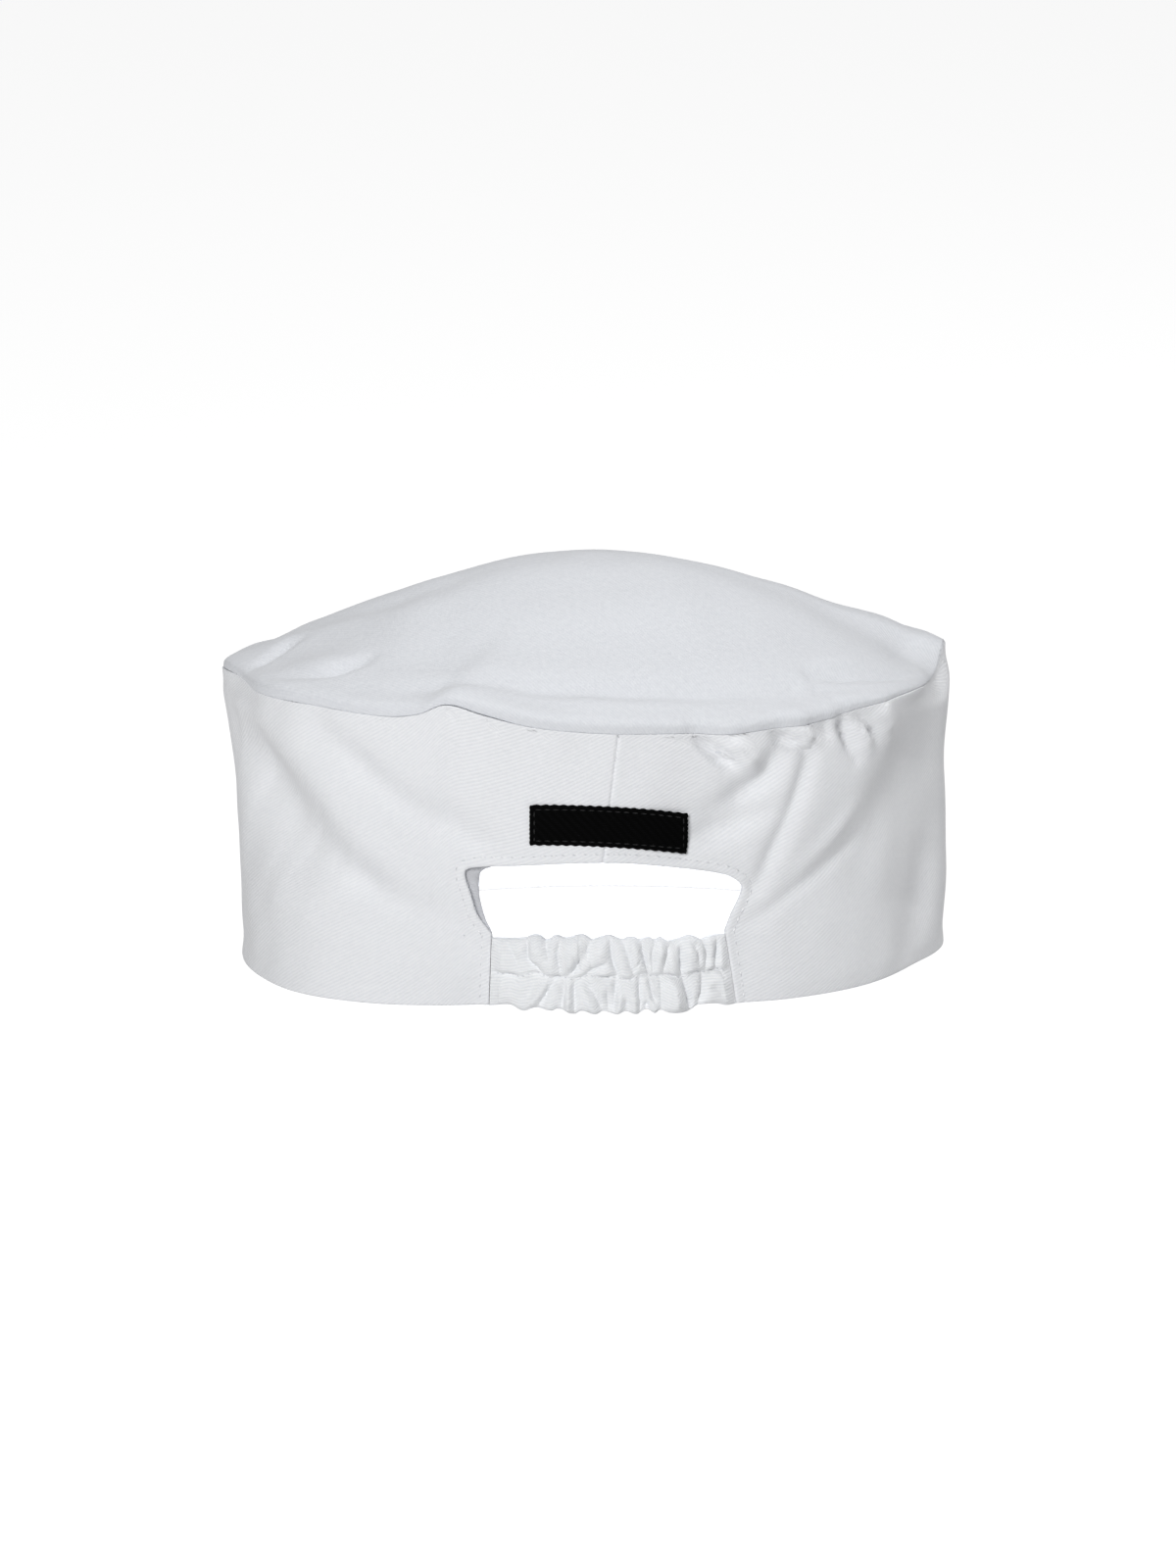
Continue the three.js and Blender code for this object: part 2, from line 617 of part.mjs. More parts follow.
// Facing: a strip that backs the edge of the arch and shows a little inside it on the left
function makeFacing() {
  const outline = archOutline();
  const rings = [];
  for (let i = 0; i <= ARCH_STEPS; i += 1) {
    const f = mix(FACING_SHORT, 1 - FACING_SHORT, i / ARCH_STEPS);
    const place = outline.getPointAt(f);
    const tangent = outline.getTangentAt(f);
    const away = new THREE.Vector2(-tangent.y, tangent.x);
    const shows = FACING_SHOWS * Math.exp(-(((f - FACING_SHOWS_AT) / FACING_SHOWS_ROUND) ** 2));
    const rows = [-shows - GAP, FACING_WIDTH / 2, FACING_WIDTH];
    const sheet = (depth) =>
      rows.map((row) => {
        const at = place.clone().addScaledVector(away, row);
        return behindBand(at.x, at.y, depth);
      });
    rings.push([...sheet(CLOTH + FACING_GAP), ...sheet(CLOTH + FACING_GAP + FACING_THICKNESS).reverse()]);
  }
  return piece("opening_facing", closedBody(rings, false), tapeCotton);
}

// Label: a plain woven tape, sewn flat above the opening
function makeLabel() {
  const tilt = radians(LABEL_TILT);
  const rings = [];
  for (let i = 0; i <= LABEL_COLUMNS; i += 1) {
    const along = LABEL_WIDTH * (i / LABEL_COLUMNS - 0.5);
    const sheet = (depth) =>
      LABEL_ROWS.map((row) => {
        const up = LABEL_HEIGHT * row;
        const across = LABEL_CENTRE + along * Math.cos(tilt) - up * Math.sin(tilt);
        return behindBand(across, LABEL_UP + along * Math.sin(tilt) + up * Math.cos(tilt), depth);
      });
    rings.push([...sheet(-GAP - LABEL_THICKNESS), ...sheet(-GAP).reverse()]);
  }
  return piece("label", closedBody(rings, false), wovenSatin);
}

const cap = new THREE.Group();
cap.add(makeBand(), makeCrown(), makeCasing(), makeFacing(), makeLabel());

// The cap stands with the middle of its foot at the origin
const extent = new THREE.Box3().setFromObject(cap, true);
const middle = extent.getCenter(new THREE.Vector3());
cap.position.set(-middle.x, -middle.y, -extent.min.z);

export default cap;
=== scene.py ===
"""A kitchen skull cap in white cotton drill, dressed for its picture.

The cap stands on its hem. Its back, with the opening and the ruffled elastic casing, faces -Y and
its front +Y. The forms are worked out in millimetres round the cap's own middle and put into the
frame, in metres, when a mesh is made. A turn is an angle in degrees round the cap, 0 at the middle
of the back and positive towards +X.
"""

import logging
import math
from dataclasses import dataclass, field
from enum import Enum
from typing import Callable

import bpy
import numpy as np
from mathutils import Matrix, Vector

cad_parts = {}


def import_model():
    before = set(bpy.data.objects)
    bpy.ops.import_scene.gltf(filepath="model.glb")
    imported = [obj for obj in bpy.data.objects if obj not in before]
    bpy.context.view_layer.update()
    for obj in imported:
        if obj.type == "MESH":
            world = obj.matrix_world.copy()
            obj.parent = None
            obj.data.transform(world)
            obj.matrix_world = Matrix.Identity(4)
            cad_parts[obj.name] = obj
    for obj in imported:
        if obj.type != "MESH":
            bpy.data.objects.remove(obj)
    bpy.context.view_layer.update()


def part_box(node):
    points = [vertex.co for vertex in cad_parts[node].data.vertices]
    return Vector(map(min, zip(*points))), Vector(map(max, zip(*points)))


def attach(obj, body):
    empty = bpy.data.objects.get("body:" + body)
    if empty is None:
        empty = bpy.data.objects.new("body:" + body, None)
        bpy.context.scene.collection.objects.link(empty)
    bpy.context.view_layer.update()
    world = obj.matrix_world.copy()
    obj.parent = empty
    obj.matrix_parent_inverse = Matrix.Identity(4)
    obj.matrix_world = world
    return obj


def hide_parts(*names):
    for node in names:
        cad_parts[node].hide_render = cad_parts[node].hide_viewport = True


LOG = logging.getLogger("skull_cap")

MM = 0.001
FULL_TURN = 360.0


def read_through(keys: np.ndarray, values: np.ndarray, at: np.ndarray | float) -> np.ndarray:
    """Read a smooth cubic through values given at rising keys.

    Args:
        keys: The rising keys.
        values: One value for each key.
        at: Where to read, held inside the keys.

    Returns:
        The values read.
    """
    keys, values = np.asarray(keys, float), np.asarray(values, float)
    slopes = np.empty_like(values)
    slopes[1:-1] = (values[2:] - values[:-2]) / (keys[2:] - keys[:-2])
    slopes[0] = (values[1] - values[0]) / (keys[1] - keys[0])
    slopes[-1] = (values[-1] - values[-2]) / (keys[-1] - keys[-2])
    place = np.clip(at, keys[0], keys[-1])
    row = np.clip(np.searchsorted(keys, place, side="left") - 1, 0, len(keys) - 2)
    span = keys[row + 1] - keys[row]
    f = (place - keys[row]) / span
    ff, fff = f * f, f * f * f
    start = (2 * fff - 3 * ff + 1) * values[row] + (fff - 2 * ff + f) * slopes[row] * span
    return start + (3 * ff - 2 * fff) * values[row + 1] + (fff - ff) * slopes[row + 1] * span


def smooth(x: np.ndarray | float) -> np.ndarray:
    """Ease from 0 at 0 to 1 at 1, flat at both ends and beyond them."""
    x = np.clip(x, 0.0, 1.0)
    return x * x * (3 - 2 * x)


def bell(x: np.ndarray, width: float) -> np.ndarray:
    """Give a soft bump of height 1 at 0 that fades over the width."""
    return np.exp(-((x / width) ** 2))


@dataclass(frozen=True)
class Fold:
    """A fold or crease pressed into a piece of cloth along a path.

    Its width is half its real width, as a share of the cloth's height. Its depth is a share of the
    piece's fold depth, pressed in, or pushed out if negative. Its path lists places of the piece.
    Its power is 2 for a round valley and 1 for a sharp one.
    """

    width: float
    depth: float
    path: tuple[tuple[float, float], ...]
    power: float = 2.0
    fade: float = 0.25
    steps: int = 4

    def press(self, place: np.ndarray, chart: Callable[..., np.ndarray], height: float) -> np.ndarray:
        """Give how far the fold presses the cloth in.

        Args:
            place: Places on the flat chart, in millimetres.
            chart: Lays a place of the path on that chart.
            height: The cloth's height in millimetres, which the width is a share of.

        Returns:
            Shares of the piece's fold depth.
        """
        corners = np.array(self.path, float)
        keys = np.arange(len(corners))
        fine = np.linspace(0, keys[-1], self.steps * keys[-1] + 1)
        first, second = (read_through(keys, corners[:, c], fine) for c in (0, 1))
        line = chart(first, second)
        run = np.concatenate([[0.0], np.cumsum(np.linalg.norm(np.diff(line, axis=0), axis=1))])
        width = self.width * height
        # Beyond this reach the fold has faded to e to the power of minus 9
        reach = width * 9 ** (1 / self.power)
        low, high = line.min(axis=0) - reach, line.max(axis=0) + reach
        near = np.all((place > low) & (place < high), axis=-1)
        spots = place[near]
        away, along = np.full(len(spots), np.inf), np.zeros(len(spots))
        for start, end, before, after in zip(line[:-1], line[1:], run[:-1], run[1:]):
            step = end - start
            share = np.clip(((spots - start) @ step) / (step @ step), 0, 1)
            gap = np.linalg.norm(spots - start - share[:, None] * step, axis=1)
            along = np.where(gap < away, (before + share * (after - before)) / run[-1], along)
            away = np.minimum(away, gap)
        faded = np.minimum(1, (1 + np.minimum(along, 1 - along) / self.fade) / 2)
        pressed = np.zeros(place.shape[:-1])
        pressed[near] = self.depth * faded * np.exp(-((away / width) ** self.power))
        return pressed


# Folds of the band, along turns and shares of its height
FOLDS = (
    Fold(0.18, 2.1, ((-84, 0.79), (-72, 0.68), (-62, 0.58), (-54, 0.5), (-46, 0.43))),
    Fold(0.08, 0.8, ((-47, 0.45), (-41, 0.39), (-34, 0.32), (-26, 0.23))),
    Fold(0.1, -0.35, ((-72, 0.94), (-59, 0.8), (-46, 0.63), (-32, 0.47))),
    Fold(0.1, -0.5, ((-66, 0.38), (-48, 0.28))),
    Fold(0.075, 0.9, ((-50, 0.9), (-42, 0.8), (-33, 0.66), (-20, 0.52))),
    Fold(0.05, 0.75, ((31, 0.96), (27, 0.84), (22, 0.76), (18, 0.72))),
    Fold(0.045, 0.55, ((27, 0.71), (20, 0.66), (13.5, 0.61))),
    Fold(0.032, 0.46, ((36.5, 0.97), (34, 0.82), (30.5, 0.66), (28, 0.55), (25, 0.42))),
    Fold(0.03, 0.22, ((46, 0.53), (34, 0.42), (24, 0.3))),
    Fold(0.036, -0.25, ((44, 0.64), (34, 0.49))),
    Fold(0.24, 1.1, ((72, 0.98), (68, 0.6), (60, 0.0))),
    Fold(0.16, 0.65, ((70, 0.74), (60, 0.66), (49, 0.54), (36, 0.4))),
    Fold(0.13, 0.4, ((74, 0.46), (68, 0.12))),
    Fold(0.025, 0.7, ((14, 1.0), (20.5, 0.89))),
    Fold(0.04, -0.9, ((20, 1.0), (24.5, 0.87))),
    Fold(0.026, 0.5, ((27, 1.0), (34, 0.915))),
    Fold(0.03, -0.6, ((32, 1.0), (36, 0.93))),
    Fold(0.02, 0.3, ((38.5, 1.0), (39, 0.93))),
    Fold(0.03, 0.8, ((42, 1.0), (43.5, 0.92), (45.5, 0.83))),
    Fold(0.02, 0.26, ((45, 0.99), (50.5, 0.875))),
    Fold(0.03, -0.4, ((46.5, 0.93), (48.5, 0.85))),
    Fold(0.05, -0.6, ((51, 1.0), (54, 0.88))),
)

# Sharp little tucks of the cloth's face under the seam, on the same chart
TUCKS = (
    Fold(0.012, 0.25, ((15.5, 1.0), (20.5, 0.9))),
    Fold(0.012, 0.25, ((29.0, 1.0), (34.0, 0.915))),
    Fold(0.013, 0.15, ((43.0, 0.99), (44.0, 0.88))),
    Fold(0.012, 0.13, ((45.5, 0.98), (50.5, 0.88))),
    Fold(0.012, 0.15, ((9.0, 1.0), (13.0, 0.97))),
    Fold(0.014, 0.2, ((-19.5, 1.0), (-17.5, 0.95))),
    Fold(0.018, 0.25, ((-26.0, 1.0), (-25.0, 0.95))),
    Fold(0.012, 0.2, ((-13.0, 1.0), (-9.0, 0.97))),
    Fold(0.012, 0.15, ((-38.0, 1.0), (-36.0, 0.97))),
)

# Creases of the crown, along turns and reaches
CREASES = (
    Fold(0.032, 1.1, ((-79, 0.975), (-83, 0.9), (-87, 0.82))),
    Fold(0.07, -0.4, ((-72, 0.95), (-60, 0.8))),
    Fold(0.032, 1.0, ((-68, 0.97), (-61, 0.92), (-57, 0.87), (-54, 0.79))),
    Fold(0.09, 0.7, ((-102, 0.82), (-90, 0.62), (-76, 0.45))),
    Fold(0.05, 0.9, ((-46, 0.96), (-27, 0.89), (-10, 0.83), (5, 0.84), (24, 0.865), (36, 0.895))),
    Fold(0.042, 1.5, ((44, 0.85), (57, 0.92), (71, 0.97))),
    Fold(0.03, 0.8, ((41, 0.915), (48, 0.955), (56, 0.99))),
    Fold(0.14, 0.3, ((30, 0.6), (-10, 0.5))),
    Fold(0.1, 0.3, ((-35, 0.62), (-62, 0.5))),
)

# Plan of the band: turn, then shares of its half sizes at the hem, half way up and at the seam
PLAN = (
    (-180, 1.0, 1.0, 1.0),
    (-150, 1.0, 1.0, 1.0),
    (-120, 0.995, 0.995, 1.01),
    (-90, 0.987, 0.996, 1.043),
    (-70, 1.01, 0.995, 1.02),
    (-52, 1.05, 1.02, 1.01),
    (-38, 1.03, 1.01, 1.0),
    (-28, 0.975, 0.98, 0.99),
    (-20, 0.925, 0.965, 0.985),
    (-10, 0.975, 0.98, 0.985),
    (0, 1.015, 0.99, 0.98),
    (10, 1.02, 0.985, 0.975),
    (20, 0.99, 0.98, 0.98),
    (30, 1.015, 1.0, 0.99),
    (50, 1.025, 1.01, 1.0),
    (70, 1.01, 1.01, 1.02),
    (90, 1.024, 1.024, 1.037),
    (120, 1.0, 1.0, 1.01),
    (150, 1.0, 1.0, 1.0),
    (180, 1.0, 1.0, 1.0),
)

# Height of the crown seam: turn, then share of the band's height
SEAM = (
    (-180, 1.0),
    (-140, 1.0),
    (-103, 1.03),
    (-93, 1.048),
    (-85, 1.052),
    (-77.5, 1.045),
    (-70, 1.038),
    (-52, 1.04),
    (-37, 1.03),
    (-31, 1.045),
    (-26, 1.085),
    (-20, 1.055),
    (-12, 1.015),
    (0, 0.99),
    (12, 0.98),
    (20, 0.97),
    (30, 0.975),
    (39, 0.985),
    (46, 1.006),
    (62, 1.022),
    (72, 1.016),
    (80, 1.012),
    (85, 1.045),
    (89, 1.095),
    (96, 1.09),
    (105, 1.065),
    (120, 1.03),
    (145, 1.0),
    (180, 1.0),
)

# Crown from the seam to its peak: reach as a share of the seam's plan, then how far it has risen,
# as a share of the crown's rise, towards the left, the right, and the back and front
CROWN = (
    (1.0, 0.0, 0.0, 0.0),
    (0.99, 0.05, 0.03, 0.055),
    (0.955, 0.115, 0.105, 0.12),
    (0.9, 0.2, 0.185, 0.195),
    (0.84, 0.295, 0.3, 0.255),
    (0.78, 0.37, 0.38, 0.315),
    (0.7, 0.48, 0.475, 0.41),
    (0.6, 0.61, 0.595, 0.535),
    (0.48, 0.745, 0.715, 0.68),
    (0.35, 0.85, 0.84, 0.81),
    (0.19, 0.945, 0.945, 0.94),
    (0.0, 1.0, 1.0, 1.0),
)

# Outline of the opening above the casing: side as a share of its half width, how far the half
# width has gone from the casing's to the opening's, and the height from the casing's top to its own
ARCH = (
    (-1, 0, 0.0),
    (-1, 0.7, 0.24),
    (-1, 1.08, 0.55),
    (-1, 1.34, 0.78),
    (-1, 1.12, 0.875),
    (-0.82, 1, 0.915),
    (-0.5, 1, 0.97),
    (-0.18, 1, 1.0),
    (0.14, 1, 0.985),
    (0.5, 1, 0.9),
    (0.8, 1, 0.79),
    (0.93, 1, 0.69),
    (1, 0.93, 0.56),
    (1, 0.75, 0.42),
    (1, 0.35, 0.22),
    (1, 0, 0.0),
)

# Edge of the facing where it peeps out beside the opening's upper left corner: across and up
PEEP = (
    (-33.9, 22.8),
    (-35.9, 26.1),
    (-37.2, 30.7),
    (-37.7, 34.0),
    (-37.8, 37.0),
    (-37.3, 40.0),
    (-35.9, 42.1),
    (-33.3, 43.2),
)

# Section of the casing: share of its height, then shares of its bulge and of its thickness
CASING_SECTION = (
    (0.0, 0.55, 0.45),
    (0.05, 0.85, 0.85),
    (0.16, 1.0, 1.0),
    (0.34, 0.9, 1.0),
    (0.44, 0.5, 0.8),
    (0.485, 0.12, 0.6),
    (0.5, 0.1, 0.55),
    (0.515, 0.55, 0.7),
    (0.55, 0.9, 0.9),
    (0.66, 1.0, 1.0),
    (0.82, 0.9, 1.0),
    (0.94, 0.6, 0.85),
    (1.0, 0.1, 0.45),
)

# Ruffles of the casing, along shares of its length and of its height: first the lower channel
RUFFLES = (
    Fold(0.1, 0.4, ((0.2, 0.46), (0.18, 0.3), (0.155, 0.12))),
    Fold(0.08, -0.45, ((0.243, 0.44), (0.205, 0.22), (0.165, 0.0))),
    Fold(0.05, 0.8, ((0.265, 0.47), (0.23, 0.26), (0.195, 0.0)), 1.3),
    Fold(0.05, 0.55, ((0.303, 0.48), (0.298, 0.28), (0.29, 0.0)), 1.3),
    Fold(0.04, -0.3, ((0.322, 0.46), (0.318, 0.0))),
    Fold(0.05, 0.8, ((0.343, 0.48), (0.34, 0.0)), 1.2),
    Fold(0.06, 0.8, ((0.375, 0.46), (0.42, 0.27), (0.45, 0.0)), 1.3),
    Fold(0.05, 0.5, ((0.472, 0.32), (0.474, 0.0)), 1.3),
    Fold(0.06, 1.1, ((0.512, 0.48), (0.505, 0.26), (0.494, 0.0)), 1.1),
    Fold(0.07, 0.45, ((0.548, 0.2), (0.552, 0.0)), 1.5),
    Fold(0.055, 0.95, ((0.608, 0.48), (0.603, 0.25), (0.598, 0.0)), 1.1),
    Fold(0.045, 0.7, ((0.645, 0.48), (0.652, 0.3), (0.664, 0.1)), 1.1),
    Fold(0.05, 0.7, ((0.632, 0.12), (0.622, 0.0)), 1.2),
    Fold(0.05, 0.55, ((0.693, 0.48), (0.69, 0.22), (0.68, 0.0)), 1.2),
    Fold(0.06, -0.3, ((0.745, 0.4), (0.742, 0.0))),
    Fold(0.055, 1.05, ((0.789, 0.48), (0.796, 0.25), (0.801, 0.0)), 1.1),
    Fold(0.05, 0.85, ((0.868, 0.48), (0.86, 0.27), (0.833, 0.0)), 1.2),
    Fold(0.09, 0.35, ((0.9, 0.32), (0.95, 0.1))),
    Fold(0.07, -0.5, ((0.325, 0.2), (0.33, 0.0))),
    Fold(0.09, -0.4, ((0.41, 0.2), (0.42, 0.0))),
    Fold(0.06, -0.6, ((0.52, 0.3), (0.512, 0.0))),
    Fold(0.08, -0.4, ((0.58, 0.25), (0.582, 0.0))),
    Fold(0.05, -0.5, ((0.65, 0.12), (0.657, 0.0))),
    Fold(0.13, -0.4, ((0.74, 0.35), (0.745, 0.0))),
    Fold(0.12, -0.35, ((0.19, 0.98), (0.2, 0.75))),
    Fold(0.1, -0.35, ((0.262, 0.98), (0.262, 0.7))),
    Fold(0.14, -0.35, ((0.36, 0.95), (0.34, 0.75))),
    Fold(0.12, -0.3, ((0.462, 0.95), (0.45, 0.78))),
    Fold(0.1, -0.3, ((0.595, 1.0), (0.61, 0.6))),
    Fold(0.1, -0.3, ((0.715, 0.95), (0.7, 0.7))),
    Fold(0.11, -0.3, ((0.83, 0.98), (0.825, 0.65))),
    Fold(0.045, 0.5, ((0.945, 0.49), (0.975, 0.36)), 1.2),
    Fold(0.06, 0.6, ((0.068, 0.95), (0.095, 0.76), (0.13, 0.58)), 1.3),
    Fold(0.05, 0.95, ((0.155, 1.0), (0.153, 0.76), (0.17, 0.64), (0.21, 0.53)), 1.1),
    Fold(0.05, 0.8, ((0.228, 1.0), (0.236, 0.84), (0.24, 0.74)), 1.1),
    Fold(0.05, 0.8, ((0.292, 1.0), (0.278, 0.8), (0.288, 0.56)), 1.1),
    Fold(0.045, 0.95, ((0.372, 0.74), (0.35, 0.63), (0.32, 0.54)), 1.1),
    Fold(0.06, 0.8, ((0.42, 1.0), (0.402, 0.86), (0.4, 0.74)), 1.2),
    Fold(0.045, 0.7, ((0.47, 0.68), (0.43, 0.6), (0.395, 0.53)), 1.1),
    Fold(0.05, 1.0, ((0.496, 1.0), (0.5, 0.76), (0.52, 0.53)), 1.1),
    Fold(0.055, 0.75, ((0.552, 1.0), (0.566, 0.82), (0.588, 0.53)), 1.2),
    Fold(0.055, 1.05, ((0.632, 1.0), (0.633, 0.77), (0.647, 0.53)), 1.1),
    Fold(0.045, 0.5, ((0.69, 1.0), (0.672, 0.8), (0.664, 0.56)), 1.2),
    Fold(0.05, 0.7, ((0.753, 1.0), (0.732, 0.77), (0.708, 0.52)), 1.2),
    Fold(0.05, 1.0, ((0.795, 0.92), (0.789, 0.7), (0.785, 0.51)), 1.1),
    Fold(0.045, 0.45, ((0.838, 0.95), (0.862, 0.77), (0.858, 0.6)), 1.3),
    Fold(0.055, 0.7, ((0.896, 1.0), (0.903, 0.77), (0.886, 0.54)), 1.2),
    Fold(0.055, 1.1, ((0.965, 1.0), (0.95, 0.76), (0.93, 0.53)), 1.1),
)

# Edges of the casing: place along it, then how far the edge stands above its even line, in millimetres
CASING_FOOT = (
    (0.0, 0.1),
    (0.09, 1.4),
    (0.14, 0.0),
    (0.187, 1.2),
    (0.25, 0.6),
    (0.275, 1.3),
    (0.339, 0.0),
    (0.37, 1.0),
    (0.422, 0.1),
    (0.455, 0.9),
    (0.502, 0.0),
    (0.542, 0.9),
    (0.586, 0.0),
    (0.625, 1.3),
    (0.657, 0.2),
    (0.677, 0.9),
    (0.72, 0.0),
    (0.8, 0.0),
    (0.828, 1.3),
    (0.896, 1.4),
    (0.952, 0.4),
    (1.0, 0.1),
)
CASING_HEAD = (
    (0.0, -1.3),
    (0.084, -1.0),
    (0.143, -0.5),
    (0.156, 0.15),
    (0.18, 0.5),
    (0.203, 0.3),
    (0.223, -0.8),
    (0.239, -0.6),
    (0.267, 0.7),
    (0.311, -0.1),
    (0.374, 1.1),
    (0.402, 0.5),
    (0.42, -0.4),
    (0.434, -0.2),
    (0.494, 0.9),
    (0.522, 0.25),
    (0.554, -0.5),
    (0.58, 0.1),
    (0.61, -0.1),
    (0.625, -0.7),
    (0.67, -0.1),
    (0.693, -1.0),
    (0.72, -0.4),
    (0.753, -1.6),
    (0.81, -0.9),
    (0.848, -0.35),
    (0.88, -1.1),
    (0.9, -1.9),
    (0.928, -1.2),
    (1.0, -1.0),
)


class Slot(Enum):
    """Material slots of the record that the pieces take their finish from."""

    BAND = "white_drill"
    CROWN = "crown_drill"
    CASING = "ruffled_drill"
    FACING = "facing_drill"
    LABEL = "black_tape"


def linear(colour: str) -> tuple[float, float, float, float]:
    """Turn an sRGB colour into the linear one that Blender's sockets take.

    Args:
        colour: Six hex digits, with or without a leading hash.

    Returns:
        Linear red, green and blue, and an alpha of 1.
    """
    digits = colour.lstrip("#")
    shares = (int(digits[i : i + 2], 16) / 255 for i in (0, 2, 4))
    red, green, blue = (s / 12.92 if s <= 0.04045 else ((s + 0.055) / 1.055) ** 2.4 for s in shares)
    return red, green, blue, 1.0


def unit(v: np.ndarray) -> np.ndarray:
    """Scale vectors to length 1."""
    return v / np.maximum(np.linalg.norm(v, axis=-1, keepdims=True), 1e-12)


def even_steps(start: float, end: float, step: np.ndarray, where: np.ndarray) -> np.ndarray:
    """Lay out places from start to end whose spacing follows a wanted step.

    Args:
        start: First place.
        end: Last place.
        step: Wanted spacing at some places.
        where: The places where the spacing is given, rising.

    Returns:
        The places, with both ends.
    """
    fine = np.linspace(start, end, 4000)
    pace = 1 / np.interp(fine, where, step)
    run = np.concatenate([[0.0], np.cumsum((pace[1:] + pace[:-1]) / 2 * np.diff(fine))])
    count = max(2, int(round(run[-1])))
    return np.interp(np.linspace(0, run[-1], count + 1), run, fine)


@dataclass
class Undulation:
    """Slow unevenness of handled cloth: a seeded sum of waves through space, in millimetres."""

    seed: int
    longest: float
    shortest: float
    depth: float
    waves: int = 28
    # The waves run a little more round the cap than up it, and their shares average about this much
    upright: float = 0.8
    mean_share: float = 0.6

    def at(self, points: np.ndarray) -> np.ndarray:
        """Give the unevenness at some points.

        Args:
            points: Points in millimetres, xyz on the last axis.

        Returns:
            How far each point stands out.
        """
        rng = np.random.default_rng(self.seed)
        total = np.zeros(points.shape[:-1])
        for _ in range(self.waves):
            direction = unit(rng.normal(size=3) * np.array([1.0, 1.0, self.upright]))
            length = math.exp(rng.uniform(math.log(self.shortest), math.log(self.longest)))
            phase = rng.uniform(0, 2 * math.pi)
            share = length / self.longest
            total += share * np.cos(points @ direction * (2 * math.pi / length) + phase)
        return total * self.depth / math.sqrt(self.waves / 2) / self.mean_share


